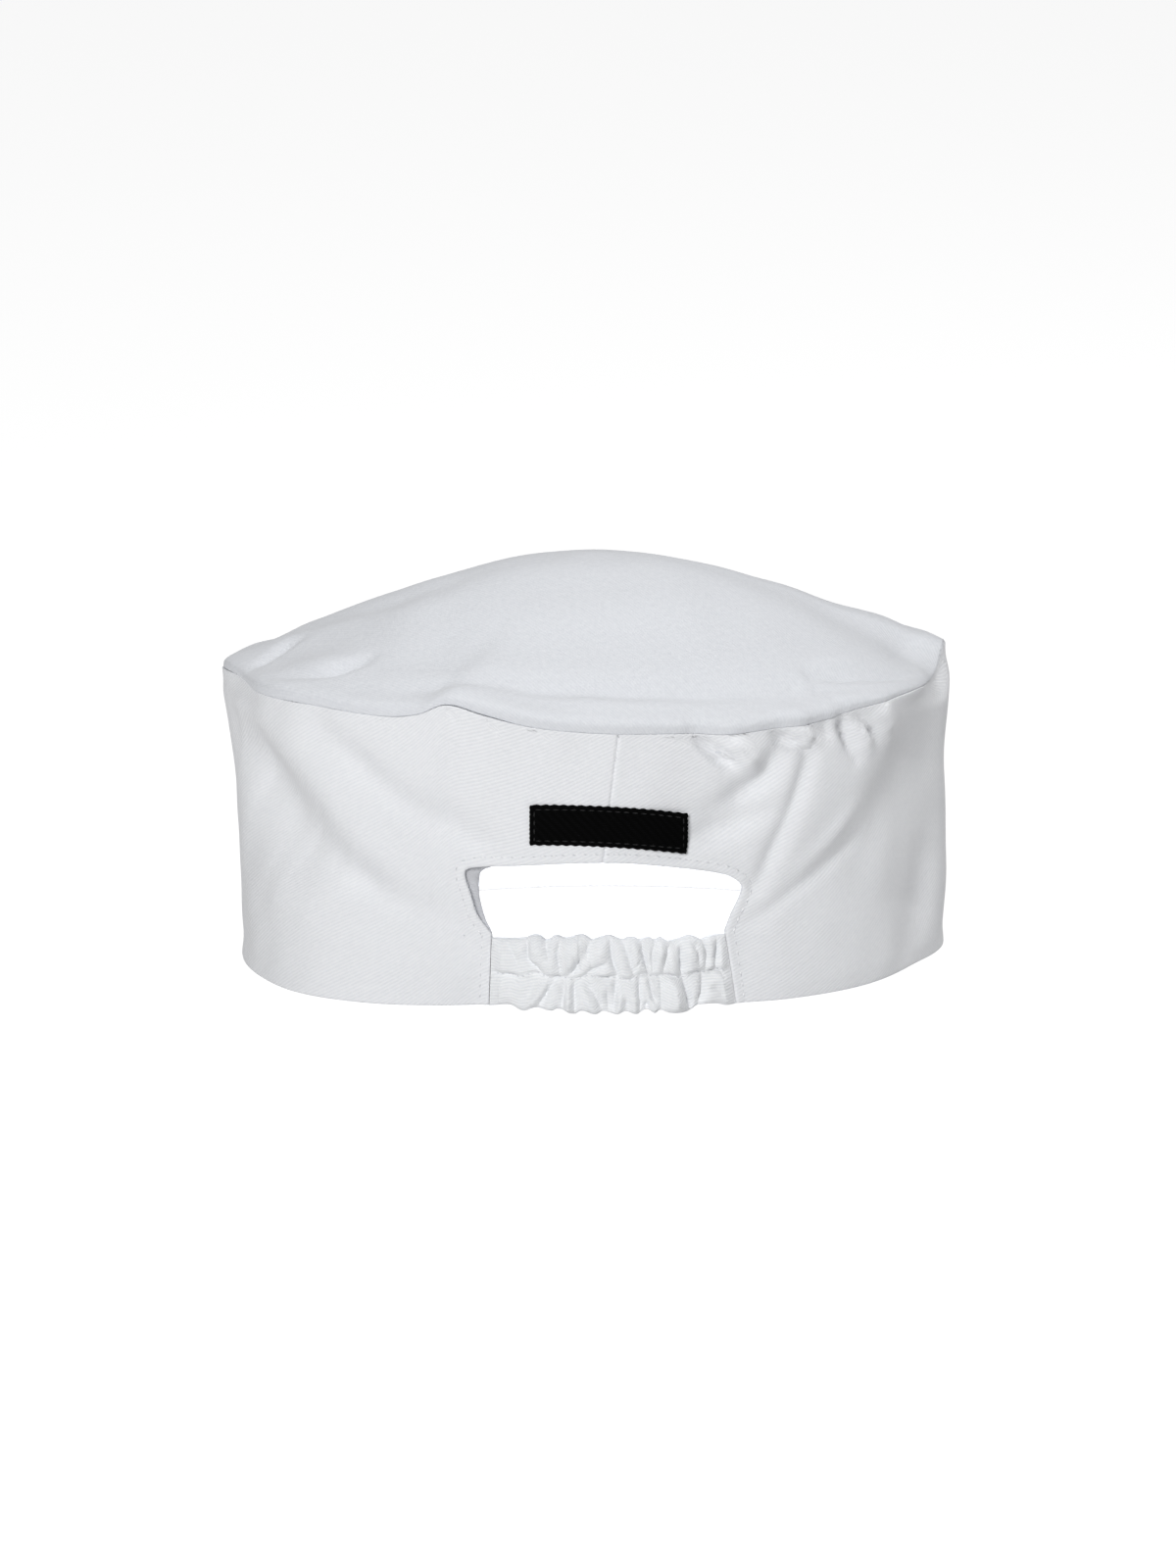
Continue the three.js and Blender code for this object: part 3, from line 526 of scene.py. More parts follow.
@dataclass
class CapForm:
    """The shape that all of the cap's cloth follows, in millimetres, as the solids have it."""

    half_width: float = 107.5
    half_depth: float = 72.5
    band_height: float = 85.0
    fold_depth: float = 4.0
    # The band rolls in under the seam at both ends of the crown: where, how widely, how far, how low
    corner_turn: float = 81.0
    corner_width: float = 11.0
    corner_roll: float = 4.2
    roll_from: float = 0.9
    # The seam's layers fold less than one layer of cloth does, from this share of the height upwards
    seam_stiffness: float = 0.4
    stiff_from: float = 0.95
    crown_rise: float = 39.0
    crown_gap: float = 0.3
    peak_across: float = 3.0
    crease_depth: float = 3.0
    pucker_fade: int = 12
    seam_fade: int = 3
    opening_centre: float = 1.0
    opening_half_width: float = 40.6
    opening_top: float = 45.5
    casing_height: float = 22.5
    casing_half_width: float = 34.8
    casing_foot_left: float = 1.02
    casing_foot_right: float = 1.1
    forward: float = field(init=False)

    def __post_init__(self) -> None:
        """Take the place of the cap in the frame from the band's solid."""
        _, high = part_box("side_band")
        self.forward = high[1] / MM - self.half_depth

    def framed(self, points: np.ndarray) -> np.ndarray:
        """Put points in millimetres into the frame, in metres."""
        return (points + np.array([0.0, self.forward, 0.0])) * MM

    def seam_share(self, turn: np.ndarray) -> np.ndarray:
        """Give the seam's height at a turn, as a share of the band's height."""
        table = np.array(SEAM)
        return read_through(table[:, 0], table[:, 1], turn)

    def chart(self, turn: np.ndarray, up: np.ndarray) -> np.ndarray:
        """Lay the band flat, on average, in millimetres."""
        along = np.radians(turn) * 0.5 * (self.half_width + self.half_depth)
        return np.stack(np.broadcast_arrays(along, up * self.band_height), axis=-1)

    def folds(self, turn: np.ndarray, up: np.ndarray, table: tuple[Fold, ...] = FOLDS) -> np.ndarray:
        """Give how far some folds push the band inwards, in millimetres."""
        place = self.chart(turn, up)
        return self.fold_depth * sum(fold.press(place, self.chart, self.band_height) for fold in table)

    def wall_share(self, turn: np.ndarray, up: np.ndarray) -> np.ndarray:
        """Give the share of the plan's half sizes that the band has at a turn and height.

        Args:
            turn: Turns round the cap, in degrees.
            up: Shares of the band's height.

        Returns:
            The shares, read smoothly through the three levels of the plan.
        """
        table = np.array(PLAN)
        hem, middle, top = (read_through(table[:, 0], table[:, i], turn) for i in (1, 2, 3))
        low = up < 0.5
        f = np.clip(np.where(low, up, up - 0.5) / 0.5, 0, 1)
        a, b = np.where(low, hem, middle), np.where(low, middle, top)
        start = np.where(low, middle - hem, (top - hem) / 2)
        end = np.where(low, (top - hem) / 2, top - middle)
        ff, fff = f * f, f * f * f
        ends = (2 * fff - 3 * ff + 1) * a + (3 * ff - 2 * fff) * b
        return ends + (fff - 2 * ff + f) * start + (fff - ff) * end

    def wall(self, turn: np.ndarray, up: np.ndarray, folded: np.ndarray | float = 1) -> np.ndarray:
        """Give points of the band's outer face.

        Args:
            turn: Turns round the cap, in degrees.
            up: Shares of the band's height.
            folded: How much of the folds to keep.

        Returns:
            Points in millimetres.
        """
        turn, up = np.broadcast_arrays(np.asarray(turn, float), np.asarray(up, float))
        share = self.wall_share(turn, up)
        stiff = self.seam_stiffness * smooth((up - self.stiff_from) / (1 - self.stiff_from))
        corner = bell(np.abs(turn) - self.corner_turn, self.corner_width)
        inward = self.folds(turn, up) * folded * (1 - stiff)
        inward = inward + self.corner_roll * smooth((up - self.roll_from) / (1 - self.roll_from)) * corner
        angle = np.radians(turn)
        x = (self.half_width * share - inward) * np.sin(angle)
        y = -(self.half_depth * share - inward) * np.cos(angle)
        return np.stack([x, y, up * self.band_height * self.seam_share(turn)], axis=-1)

    def wall_out(self, turn: np.ndarray, up: np.ndarray) -> np.ndarray:
        """Give the level unit normals that point out of the band."""
        along = self.wall(turn + 1, up) - self.wall(turn - 1, up)
        return unit(np.stack([along[..., 1], -along[..., 0], np.zeros(along.shape[:-1])], axis=-1))

    def inside(self, turn: np.ndarray, up: np.ndarray, depth: np.ndarray | float) -> np.ndarray:
        """Give points a depth inside the band's outer face, at its own level."""
        return self.wall(turn, up) - self.wall_out(turn, up) * np.asarray(depth)[..., None]

    def place(self, across: np.ndarray, height: np.ndarray) -> tuple[np.ndarray, np.ndarray]:
        """Find the band under a point seen from behind.

        Args:
            across: How far to the right, in millimetres.
            height: How far up, in millimetres.

        Returns:
            The turns and the shares of the band's height.
        """
        across, height = np.broadcast_arrays(np.asarray(across, float), np.asarray(height, float))
        turn, up = np.zeros(across.shape), height / self.band_height
        for _ in range(9):
            here = self.wall(turn, up)
            slope = self.wall(turn + 1, up)[..., 0] - here[..., 0]
            turn = turn + (across - here[..., 0]) / slope
            up = up + (height - here[..., 2]) / self.band_height
        return turn, up

    def behind(self, across: np.ndarray, height: np.ndarray, depth: np.ndarray | float) -> np.ndarray:
        """Give points a depth inside the band, at places seen from behind."""
        turn, up = self.place(across, height)
        return self.inside(turn, up, depth)

    def crown_row(self, reach: np.ndarray) -> np.ndarray:
        """Find the row of the crown's table at which it has a given reach.

        Args:
            reach: Shares of the way from the peak to the seam.

        Returns:
            Rows of the table, with their fractions.
        """
        table = np.array(CROWN)
        rows = np.linspace(0, len(table) - 1, 4000)
        reaches = read_through(np.arange(len(table)), table[:, 0], rows)
        return np.interp(-np.asarray(reach), -reaches, rows)

    def crown(self, turn: np.ndarray, row: np.ndarray) -> np.ndarray:
        """Give points of the crown's outer face.

        Args:
            turn: Turns round the cap, in degrees.
            row: Rows of the crown's table, 0 at the seam.

        Returns:
            Points in millimetres.
        """
        turn, row = np.broadcast_arrays(np.asarray(turn, float), np.asarray(row, float))
        table = np.array(CROWN)
        steps = np.arange(len(table))
        reach, left, right, back = (read_through(steps, table[:, i], row) for i in range(4))
        seam = self.wall(turn, np.ones_like(turn), reach**self.pucker_fade)
        across = np.sin(np.radians(turn)) ** 2
        risen = back * (1 - across) + np.where(turn % FULL_TURN > 180, left, right) * across
        rim = self.band_height + (seam[..., 2] - self.band_height) * reach**self.seam_fade
        rim = rim + self.crown_gap
        peak = self.band_height + self.crown_rise
        z = rim + (peak - rim) * risen
        z = z - self.crown_creases(turn, reach) * (1 - reach**self.pucker_fade)
        x = self.peak_across + (seam[..., 0] - self.peak_across) * reach
        return np.stack([x, seam[..., 1] * reach, z], axis=-1)

    def crown_chart(self, turn: np.ndarray, reach: np.ndarray) -> np.ndarray:
        """Lay the crown flat, as it is seen from above.

        Args:
            turn: Turns round the cap, in degrees.
            reach: Shares of the way from the peak to the seam.

        Returns:
            Places across and along, in millimetres.
        """
        angle = np.radians(turn)
        x, y = self.half_width * reach * np.sin(angle), -self.half_depth * reach * np.cos(angle)
        return np.stack(np.broadcast_arrays(x, y), axis=-1)

    def crown_creases(self, turn: np.ndarray, reach: np.ndarray) -> np.ndarray:
        """Give how far the creases push the crown down.

        Args:
            turn: Turns round the cap, in degrees.
            reach: Shares of the way from the peak to the seam.

        Returns:
            Depths in millimetres.
        """
        place = self.crown_chart(turn, reach)
        return self.crease_depth * sum(
            crease.press(place, self.crown_chart, self.half_depth) for crease in CREASES
        )

    def casing_end(self, side: int, height: np.ndarray) -> np.ndarray:
        """Give how far across an end of the casing is at a height.

        Args:
            side: -1 for its left end and 1 for its right.
            height: Heights in millimetres.

        Returns:
            Places across, in millimetres.
        """
        foot = self.casing_foot_left if side < 0 else self.casing_foot_right
        share = foot + (1 - foot) * np.asarray(height, float) / self.casing_height
        return self.opening_centre + side * self.casing_half_width * share

    def arch(self, count: int = 480) -> np.ndarray:
        """Draw the outline of the opening from its lower left corner over to its lower right.

        Args:
            count: How many steps to draw it in.

        Returns:
            Points across and up, in millimetres.
        """
        side, widen, up = np.array(ARCH, float).T
        half = self.casing_half_width + (self.opening_half_width - self.casing_half_width) * widen
        x = self.opening_centre + side * half
        z = self.casing_height + (self.opening_top - self.casing_height) * up
        corners = np.stack([x, z], axis=-1)
        padded = np.concatenate([corners[:1], corners, corners[-1:]])
        t = np.linspace(0, len(corners) - 1, count + 1)
        i = np.minimum(t.astype(int), len(corners) - 2)
        f = (t - i)[:, None]
        a, b, c, d = (padded[i + k] for k in range(4))
        tangents = ((c - a) / 2, (d - b) / 2)
        lead = (2 * b - 2 * c + tangents[0] + tangents[1]) * f**3
        return lead + (-3 * b + 3 * c - 2 * tangents[0] - tangents[1]) * f**2 + tangents[0] * f + b


@dataclass
class ClothGrid:
    """A grid of points that becomes a piece of cloth with two faces and rounded edges.

    Columns come first and rows second. Seen from outside, columns run to the right and rows up.
    """

    points: np.ndarray
    chart: np.ndarray
    present: np.ndarray
    thickness: float
    goes_round: bool = False
    pole: np.ndarray | None = None

    def build(self, name: str, form: CapForm) -> bpy.types.Object:
        """Make the mesh and its object.

        Args:
            name: The object's name.
            form: The cap's form, which puts the points into the frame.

        Returns:
            The new object, with its flat chart as UVs in metres.
        """
        columns, rows = self.points.shape[:2]
        i, j = np.nonzero(self.present)
        k = (i + 1) % columns if self.goes_round else i + 1
        quads = np.stack([i * rows + j, k * rows + j, k * rows + j + 1, i * rows + j + 1], axis=1)
        chart = [self.chart[i, j], self.chart[i + 1, j], self.chart[i + 1, j + 1], self.chart[i, j + 1]]
        points = self.points.reshape(-1, 3)
        corners = [(quads, np.stack(chart, axis=1))]
        if self.pole is not None:
            points = np.concatenate([points, self.pole[None]])
            ring = np.arange(columns)
            ends = np.stack([ring * rows + rows - 1, (ring + 1) % columns * rows + rows - 1], axis=1)
            tip = np.full((columns, 1), len(points) - 1)
            flat = [self.chart[ring, rows - 1], self.chart[ring + 1, rows - 1], np.zeros((columns, 2))]
            corners.append((np.concatenate([ends, tip], axis=1), np.stack(flat, axis=1)))
        normals = self.normals(points, [faces for faces, _ in corners])
        inner = points - normals * self.thickness
        middle, rim = self.rim(points, normals, corners)
        count = len(points)
        vertices = np.concatenate([points, inner, middle])
        faces = list(corners)
        faces += [(f[:, ::-1] + count, uv[:, ::-1]) for f, uv in corners]
        faces += rim
        return mesh_object(name, form.framed(vertices), faces)

    @staticmethod
    def normals(points: np.ndarray, faces: list[np.ndarray]) -> np.ndarray:
        """Give the vertices' normals from the faces round them.

        Args:
            points: The vertices.
            faces: Groups of three or four cornered faces.

        Returns:
            One unit vector for each vertex.
        """
        total = np.zeros_like(points)
        for group in faces:
            corners = [points[corner] for corner in group.T]
            if len(corners) == 4:
                face = np.cross(corners[2] - corners[0], corners[3] - corners[1])
            else:
                face = np.cross(corners[1] - corners[0], corners[2] - corners[0])
            for corner in group.T:
                np.add.at(total, corner, face)
        return unit(total)

    def rim(
        self, points: np.ndarray, normals: np.ndarray, corners: list[tuple[np.ndarray, np.ndarray]]
    ) -> tuple[np.ndarray, list[tuple[np.ndarray, np.ndarray]]]:
        """Close the cloth's edges with a rounded rim.

        Args:
            points: The outer face's points.
            normals: Their normals.
            corners: The outer face's faces with their flat chart.

        Returns:
            One point half way through the cloth for each outer point, and the rim's faces.
        """
        starts, ends, start_flat, end_flat = [], [], [], []
        for faces, flat in corners:
            size = faces.shape[1]
            for c in range(size):
                starts.append(faces[:, c])
                ends.append(faces[:, (c + 1) % size])
                start_flat.append(flat[:, c])
                end_flat.append(flat[:, (c + 1) % size])
        a, b = np.concatenate(starts), np.concatenate(ends)
        flat_a, flat_b = np.concatenate(start_flat), np.concatenate(end_flat)
        count = len(points)
        open_edge = ~np.isin(a * count + b, b * count + a) & (a != b)
        a, b, flat_a, flat_b = a[open_edge], b[open_edge], flat_a[open_edge], flat_b[open_edge]
        along = unit(points[b] - points[a])
        outward = np.zeros_like(points)
        for end in (a, b):
            np.add.at(outward, end, np.cross(along, normals[end]))
        middle = points - normals * self.thickness / 2 + unit(outward) * self.thickness / 2
        inner, half_way = count, 2 * count
        flat = np.stack([flat_b, flat_a, flat_a, flat_b], axis=1)
        outer_half = np.stack([b, a, a + half_way, b + half_way], axis=1)
        inner_half = np.stack([b + half_way, a + half_way, a + inner, b + inner], axis=1)
        return middle, [(outer_half, flat), (inner_half, flat)]


def mesh_object(
    name: str, vertices: np.ndarray, groups: list[tuple[np.ndarray, np.ndarray]]
) -> bpy.types.Object:
    """Make a smooth mesh object from points and groups of faces.

    Args:
        name: The object's name.
        vertices: Points in metres.
        groups: Faces of one size each, with a flat chart in millimetres for every corner.

    Returns:
        The new object, linked to the scene.
    """
    used = np.unique(np.concatenate([faces.ravel() for faces, _ in groups]))
    number = np.full(len(vertices), -1)
    number[used] = np.arange(len(used))
    faces = [row for group, _ in groups for row in number[group].tolist()]
    flat = np.concatenate([uv.reshape(-1, 2) for _, uv in groups]) * MM
    mesh = bpy.data.meshes.new(name)
    mesh.from_pydata(vertices[used].tolist(), [], faces)
    layer = mesh.uv_layers.new(name="cloth")
    layer.data.foreach_set("uv", flat.astype(np.float32).ravel())
    mesh.polygons.foreach_set("use_smooth", np.ones(len(faces), dtype=bool))
    mesh.update()
    thing = bpy.data.objects.new(name, mesh)
    bpy.context.scene.collection.objects.link(thing)
    return thing


def closed_tube(name: str, form: CapForm, rings: np.ndarray, chart: np.ndarray) -> bpy.types.Object:
    """Make a closed body through rings of points, with its two ends filled.

    Args:
        name: The object's name.
        form: The cap's form, which puts the points into the frame.
        rings: Points in millimetres, rings first; each ring closes on itself.
        chart: Flat chart in millimetres, with one more place in each ring than it has points.

    Returns:
        The new object.
    """
    count, size = rings.shape[:2]
    i, j = np.meshgrid(np.arange(count - 1), np.arange(size), indexing="ij")
    i, j = i.ravel(), j.ravel()
    k = (j + 1) % size
    quads = np.stack([i * size + j, (i + 1) * size + j, (i + 1) * size + k, i * size + k], axis=1)
    flat = np.stack([chart[i, j], chart[i + 1, j], chart[i + 1, j + 1], chart[i, j + 1]], axis=1)
    points = rings.reshape(-1, 3)
    groups = [(quads, flat)]
    for ring, backwards in ((0, True), (count - 1, False)):
        middle = len(points)
        points = np.concatenate([points, rings[ring].mean(axis=0)[None]])
        here, there = np.arange(size), (np.arange(size) + 1) % size
        fan = np.stack([ring * size + here, ring * size + there, np.full(size, middle)], axis=1)
        centre = np.repeat(chart[ring, :1], size, axis=0)
        uv = np.stack([chart[ring, here], chart[ring, here + 1], centre], axis=1)
        groups.append((fan, uv) if not backwards else (fan[:, ::-1], uv[:, ::-1]))
    return mesh_object(name, form.framed(points), groups)


@dataclass(frozen=True)
class StitchRow:
    """Lockstitches along a line on the cloth, each a short arc of thread that dips in at its ends."""

    length: float = 2.5
    pitch: float = 3.1
    radius: float = 0.24
    proud: float = 0.2
    # How far a stitch's ends sink into the cloth, and how thin they are there beside its middle
    sunk: float = 0.12
    thin_end: float = 0.45
    sides: int = 6
    steps: int = 6

    def build(self, name: str, form: CapForm, line: np.ndarray, out: np.ndarray) -> bpy.types.Object:
        """Make one mesh of all the stitches along a line.

        Args:
            name: The object's name.
            form: The cap's form, which puts the points into the frame.
            line: Points of the line in millimetres.
            out: Unit vectors out of the cloth at those points.

        Returns:
            The new object.
        """
        run = np.concatenate([[0.0], np.cumsum(np.linalg.norm(np.diff(line, axis=0), axis=1))])
        middles = np.arange(self.pitch / 2, run[-1], self.pitch)
        f = np.linspace(-0.5, 0.5, self.steps + 1)
        at = middles[:, None] + f[None, :] * self.length
        place = np.stack([np.interp(at, run, line[:, c]) for c in range(3)], axis=-1)
        normal = unit(np.stack([np.interp(at, run, out[:, c]) for c in range(3)], axis=-1))
        along = unit(np.gradient(place, axis=1))
        across = unit(np.cross(along, normal))
        lift = self.proud * np.cos(np.pi * f) - self.sunk
        place = place + normal * lift[None, :, None]
        thick = self.radius * (self.thin_end + (1 - self.thin_end) * np.cos(np.pi * f))
        angle = np.arange(self.sides) * 2 * np.pi / self.sides
        ring = np.cos(angle)[:, None] * across[..., None, :] + np.sin(angle)[:, None] * normal[..., None, :]
        points = place[:, :, None, :] + ring * thick[None, :, None, None]
        stitches, steps, sides = points.shape[:3]
        numbers = np.meshgrid(np.arange(stitches), np.arange(steps - 1), np.arange(sides), indexing="ij")
        s, i, j = (number.ravel() for number in numbers)
        k = (j + 1) % sides
        here = (s * steps + i) * sides
        there = here + sides
        quads = np.stack([here + j, there + j, there + k, here + k], axis=1)
        turned = np.stack([at[s, i], at[s, i + 1], at[s, i + 1], at[s, i]], axis=1)
        wrap = np.stack([j, j, j + 1, j + 1], axis=1) * self.radius
        groups = [(quads[:, ::-1], np.stack([turned, wrap], axis=-1)[:, ::-1])]
        for end, backwards in ((0, False), (steps - 1, True)):
            cap = np.arange(stitches)[:, None] * steps * sides + end * sides + np.arange(sides)[None, :]
            cap = cap[:, ::-1] if backwards else cap
            groups.append((cap, np.zeros((stitches, sides, 2))))
        return mesh_object(name, form.framed(points.reshape(-1, 3)), groups)


def add_node(
    tree: bpy.types.NodeTree, kind: str, settings: dict | None = None, inputs: dict | None = None
) -> bpy.types.Node:
    """Add one node with its settings and links.

    Args:
        tree: The material's node tree.
        kind: Blender's name for the node.
        settings: Properties of the node to set.
        inputs: Values or sockets for its inputs, by name or number.

    Returns:
        The new node.
    """
    node = tree.nodes.new(kind)
    for name, value in (settings or {}).items():
        setattr(node, name, value)
    for name, value in (inputs or {}).items():
        if isinstance(value, bpy.types.NodeSocket):
            tree.links.new(value, node.inputs[name])
        else:
            node.inputs[name].default_value = value
    return node


def period(millimetres: float) -> float:
    """Give the scale at which a wave texture on a chart in metres repeats after a length."""
    return 2 * math.pi / 20 / (millimetres * MM)


def bare_material(name: str) -> bpy.types.Material:
    """Make a node material with nothing in its tree yet.

    Args:
        name: The material's name.

    Returns:
        The new material.
    """
    made = bpy.data.materials.new(name)
    made.use_nodes = True
    made.node_tree.nodes.clear()
    return made


@dataclass(frozen=True)
class CottonDrill:
    """Cotton drill, a strong twill: white, matt and slightly downy, with fine slanting ribs."""

    slot: Slot
    white: str
    # The darker colour that the rib hollows take as painted shade, and thin nap as a random tone
    shade: str
    # Real drill has a rib about every 0.8 mm; it is drawn coarser here so that it shows
    rib_spacing: float = 0.95
    rib_slant: float = 33.0
    rib_depth: float = 0.06
    # How much darker the rib hollows are painted, as painted shade
    rib_shade: float = 0.38
    # Slubs are thicker lengths of yarn, a few millimetres long
    slub_length: float = 6.0
    # The nap of brushed or washed cotton, in soft tufts about this far apart
    nap_spacing: float = 1.6
    nap_depth: float = 0.03
    nap_shade: float = 0.25
    # Matt all over, and dullest where the nap stands up
    least_rough: float = 0.82
    most_rough: float = 0.96
    sheen: float = 0.25

    def material(self) -> bpy.types.Material:
        """Make the cloth's material.

        Returns:
            A node material whose weave follows the cloth's flat chart.
        """
        made = bare_material(self.slot.value)
        tree = made.node_tree
        chart = add_node(tree, "ShaderNodeUVMap", {"uv_map": "cloth"}).outputs["UV"]
        multiply, multiply_add = {"operation": "MULTIPLY"}, {"operation": "MULTIPLY_ADD"}
        slant = (0.0, 0.0, -math.radians(90 + self.rib_slant))
        turned = {"Vector": chart, "Rotation": slant}
        laid = add_node(tree, "ShaderNodeMapping", None, turned).outputs["Vector"]
        rib_wave = {"Vector": laid, "Scale": period(self.rib_spacing), "Distortion": 0.2}
        ribs = add_node(
            tree,
            "ShaderNodeTexWave",
            {"wave_type": "BANDS", "bands_direction": "X", "wave_profile": "SIN"},
            {**rib_wave, "Detail": 1.0, "Detail Scale": 0.5},
        ).outputs["Fac"]
        drawn_out = {"Vector": chart, "Scale": (1.0, 5.0, 1.0)}
        yarn = add_node(tree, "ShaderNodeMapping", None, drawn_out).outputs["Vector"]
        slub_noise = {"Vector": yarn, "Scale": 1 / (self.slub_length * MM), "Detail": 3.0}
        slubs = add_node(tree, "ShaderNodeTexNoise", None, slub_noise).outputs["Fac"]
        nap_noise = {"Vector": chart, "Scale": 1 / (self.nap_spacing * MM), "Detail": 4.0}
        nap = add_node(tree, "ShaderNodeTexNoise", None, {**nap_noise, "Roughness": 0.65}).outputs["Fac"]
        rib_height = add_node(tree, "ShaderNodeMath", multiply, {0: ribs, 1: self.rib_depth}).outputs[0]
        with_nap = {0: nap, 1: self.nap_depth * 4, 2: rib_height}
        nap_height = add_node(tree, "ShaderNodeMath", multiply_add, with_nap).outputs[0]
        with_slubs = {0: slubs, 1: self.rib_depth * 1.2, 2: nap_height}
        height = add_node(tree, "ShaderNodeMath", multiply_add, with_slubs).outputs[0]
        relief = {"Height": height, "Strength": 1.0, "Distance": MM}
        bump = add_node(tree, "ShaderNodeBump", None, relief).outputs["Normal"]
        # The hollows between the ribs are painted darker, as painted shade; thin spots of the nap darken the
        # colour at random
        hollow = add_node(tree, "ShaderNodeMath", {"operation": "SUBTRACT"}, {0: 1.0, 1: ribs}).outputs[0]
        rib_shade = add_node(tree, "ShaderNodeMath", multiply, {0: hollow, 1: self.rib_shade}).outputs[0]
        thin = add_node(
            tree,
            "ShaderNodeMapRange",
            None,
            {"Value": nap, "From Min": 0.35, "From Max": 0.7, "To Min": self.nap_shade, "To Max": 0.0},
        ).outputs["Result"]
        shaded = add_node(
            tree, "ShaderNodeMath", {"operation": "ADD", "use_clamp": True}, {0: rib_shade, 1: thin}
        ).outputs[0]
        colour = add_node(
            tree,
            "ShaderNodeMix",
            {"data_type": "RGBA"},
            {0: shaded, 6: linear(self.white), 7: linear(self.shade)},
        ).outputs[2]
        rough = add_node(
            tree,
            "ShaderNodeMapRange",
            None,
            {
                "Value": nap,
                "From Min": 0.3,
                "From Max": 0.7,
                "To Min": self.least_rough,
                "To Max": self.most_rough,
            },
        ).outputs["Result"]
        cloth = add_node(
            tree,
            "ShaderNodeBsdfPrincipled",
            None,
            {
                "Base Color": colour,
                "Roughness": rough,
                "Normal": bump,
                "IOR": 1.45,
                "Specular IOR Level": 0.3,
                "Sheen Weight": self.sheen,
                "Sheen Roughness": 0.6,
            },
        )
        add_node(tree, "ShaderNodeOutputMaterial", None, {"Surface": cloth.outputs["BSDF"]})
        return made


@dataclass(frozen=True)
class WovenSatinTape:
    """Black woven polyester satin, as labels are made from: dense fine ribs and a low gloss."""

    slot: Slot = Slot.LABEL
    black: str = "#030303"
    # The raised weave is painted a touch lighter, as a painted highlight
    raised: str = "#070708"
    # Picks of such tape are about 0.3 mm apart; drawn at twice that so that they show
    pick_spacing: float = 0.6
    pick_depth: float = 0.05

    def material(self) -> bpy.types.Material:
        """Make the tape's material.

        Returns:
            A node material of crossed ribs on the tape's flat chart.
        """
        made = bare_material(self.slot.value)
        tree = made.node_tree
        chart = add_node(tree, "ShaderNodeUVMap", {"uv_map": "cloth"}).outputs["UV"]
        picks = add_node(
            tree,
            "ShaderNodeTexWave",
            {"wave_type": "BANDS", "bands_direction": "Y", "wave_profile": "SIN"},
            {"Vector": chart, "Scale": period(self.pick_spacing), "Distortion": 0.6, "Detail": 1.0},
        ).outputs["Fac"]
        ends = add_node(
            tree,
            "ShaderNodeTexWave",
            {"wave_type": "BANDS", "bands_direction": "DIAGONAL", "wave_profile": "SIN"},
            {"Vector": chart, "Scale": period(self.pick_spacing * 2.2), "Distortion": 0.8, "Detail": 1.0},
        ).outputs["Fac"]
        multiply = {"operation": "MULTIPLY"}
        weave = add_node(tree, "ShaderNodeMath", multiply, {0: picks, 1: ends}).outputs[0]
        height = add_node(tree, "ShaderNodeMath", multiply, {0: weave, 1: self.pick_depth}).outputs[0]
        relief = {"Height": height, "Strength": 1.0, "Distance": MM}
        bump = add_node(tree, "ShaderNodeBump", None, relief).outputs["Normal"]
        # Where the weave stands up the colour is a touch lighter, as a painted highlight
        colour = add_node(
            tree,
            "ShaderNodeMix",
            {"data_type": "RGBA"},
            {0: weave, 6: linear(self.black), 7: linear(self.raised)},
        ).outputs[2]
        glossier = {"Value": weave, "To Min": 0.72, "To Max": 0.5}
        rough = add_node(tree, "ShaderNodeMapRange", None, glossier).outputs["Result"]
        tape = add_node(
            tree,
            "ShaderNodeBsdfPrincipled",
            None,
            {
                "Base Color": colour,
                "Roughness": rough,
                "Normal": bump,
                "IOR": 1.5,
                "Specular IOR Level": 0.03,
            },
        )
        add_node(tree, "ShaderNodeOutputMaterial", None, {"Surface": tape.outputs["BSDF"]})
        return made


@dataclass(frozen=True)
class SewingThread:
    """Spun sewing thread: two plies twisted together, matt."""

    name: str
    colour: str
    # The darker colour painted into the grooves between the plies, as painted shade
    hollow: str
    # The twist of the plies repeats about every 0.6 mm
    twist: float = 0.6
    ply_depth: float = 0.05

    def material(self) -> bpy.types.Material:
        """Make the thread's material.

        Returns:
            A node material with the slant of the twisted plies.
        """
        made = bare_material(self.name)
        tree = made.node_tree
        chart = add_node(tree, "ShaderNodeUVMap", {"uv_map": "cloth"}).outputs["UV"]
        plies = add_node(
            tree,
            "ShaderNodeTexWave",
            {"wave_type": "BANDS", "bands_direction": "DIAGONAL", "wave_profile": "SIN"},
            {"Vector": chart, "Scale": period(self.twist * 1.4), "Distortion": 0.4},
        ).outputs["Fac"]
        raised = {0: plies, 1: self.ply_depth}
        height = add_node(tree, "ShaderNodeMath", {"operation": "MULTIPLY"}, raised).outputs[0]
        relief = {"Height": height, "Strength": 1.0, "Distance": MM}
        bump = add_node(tree, "ShaderNodeBump", None, relief).outputs["Normal"]
        # The grooves between the plies are painted in the hollow colour, as painted shade
        colour = add_node(
            tree,
            "ShaderNodeMix",
            {"data_type": "RGBA"},
            {0: plies, 6: linear(self.hollow), 7: linear(self.colour)},
        ).outputs[2]
        thread = add_node(
            tree,
            "ShaderNodeBsdfPrincipled",
            None,
            {
                "Base Color": colour,
                "Roughness": 0.8,
                "Normal": bump,
                "IOR": 1.5,
                "Specular IOR Level": 0.3,
                "Sheen Weight": 0.2,
            },
        )
        add_node(tree, "ShaderNodeOutputMaterial", None, {"Surface": thread.outputs["BSDF"]})
        return made


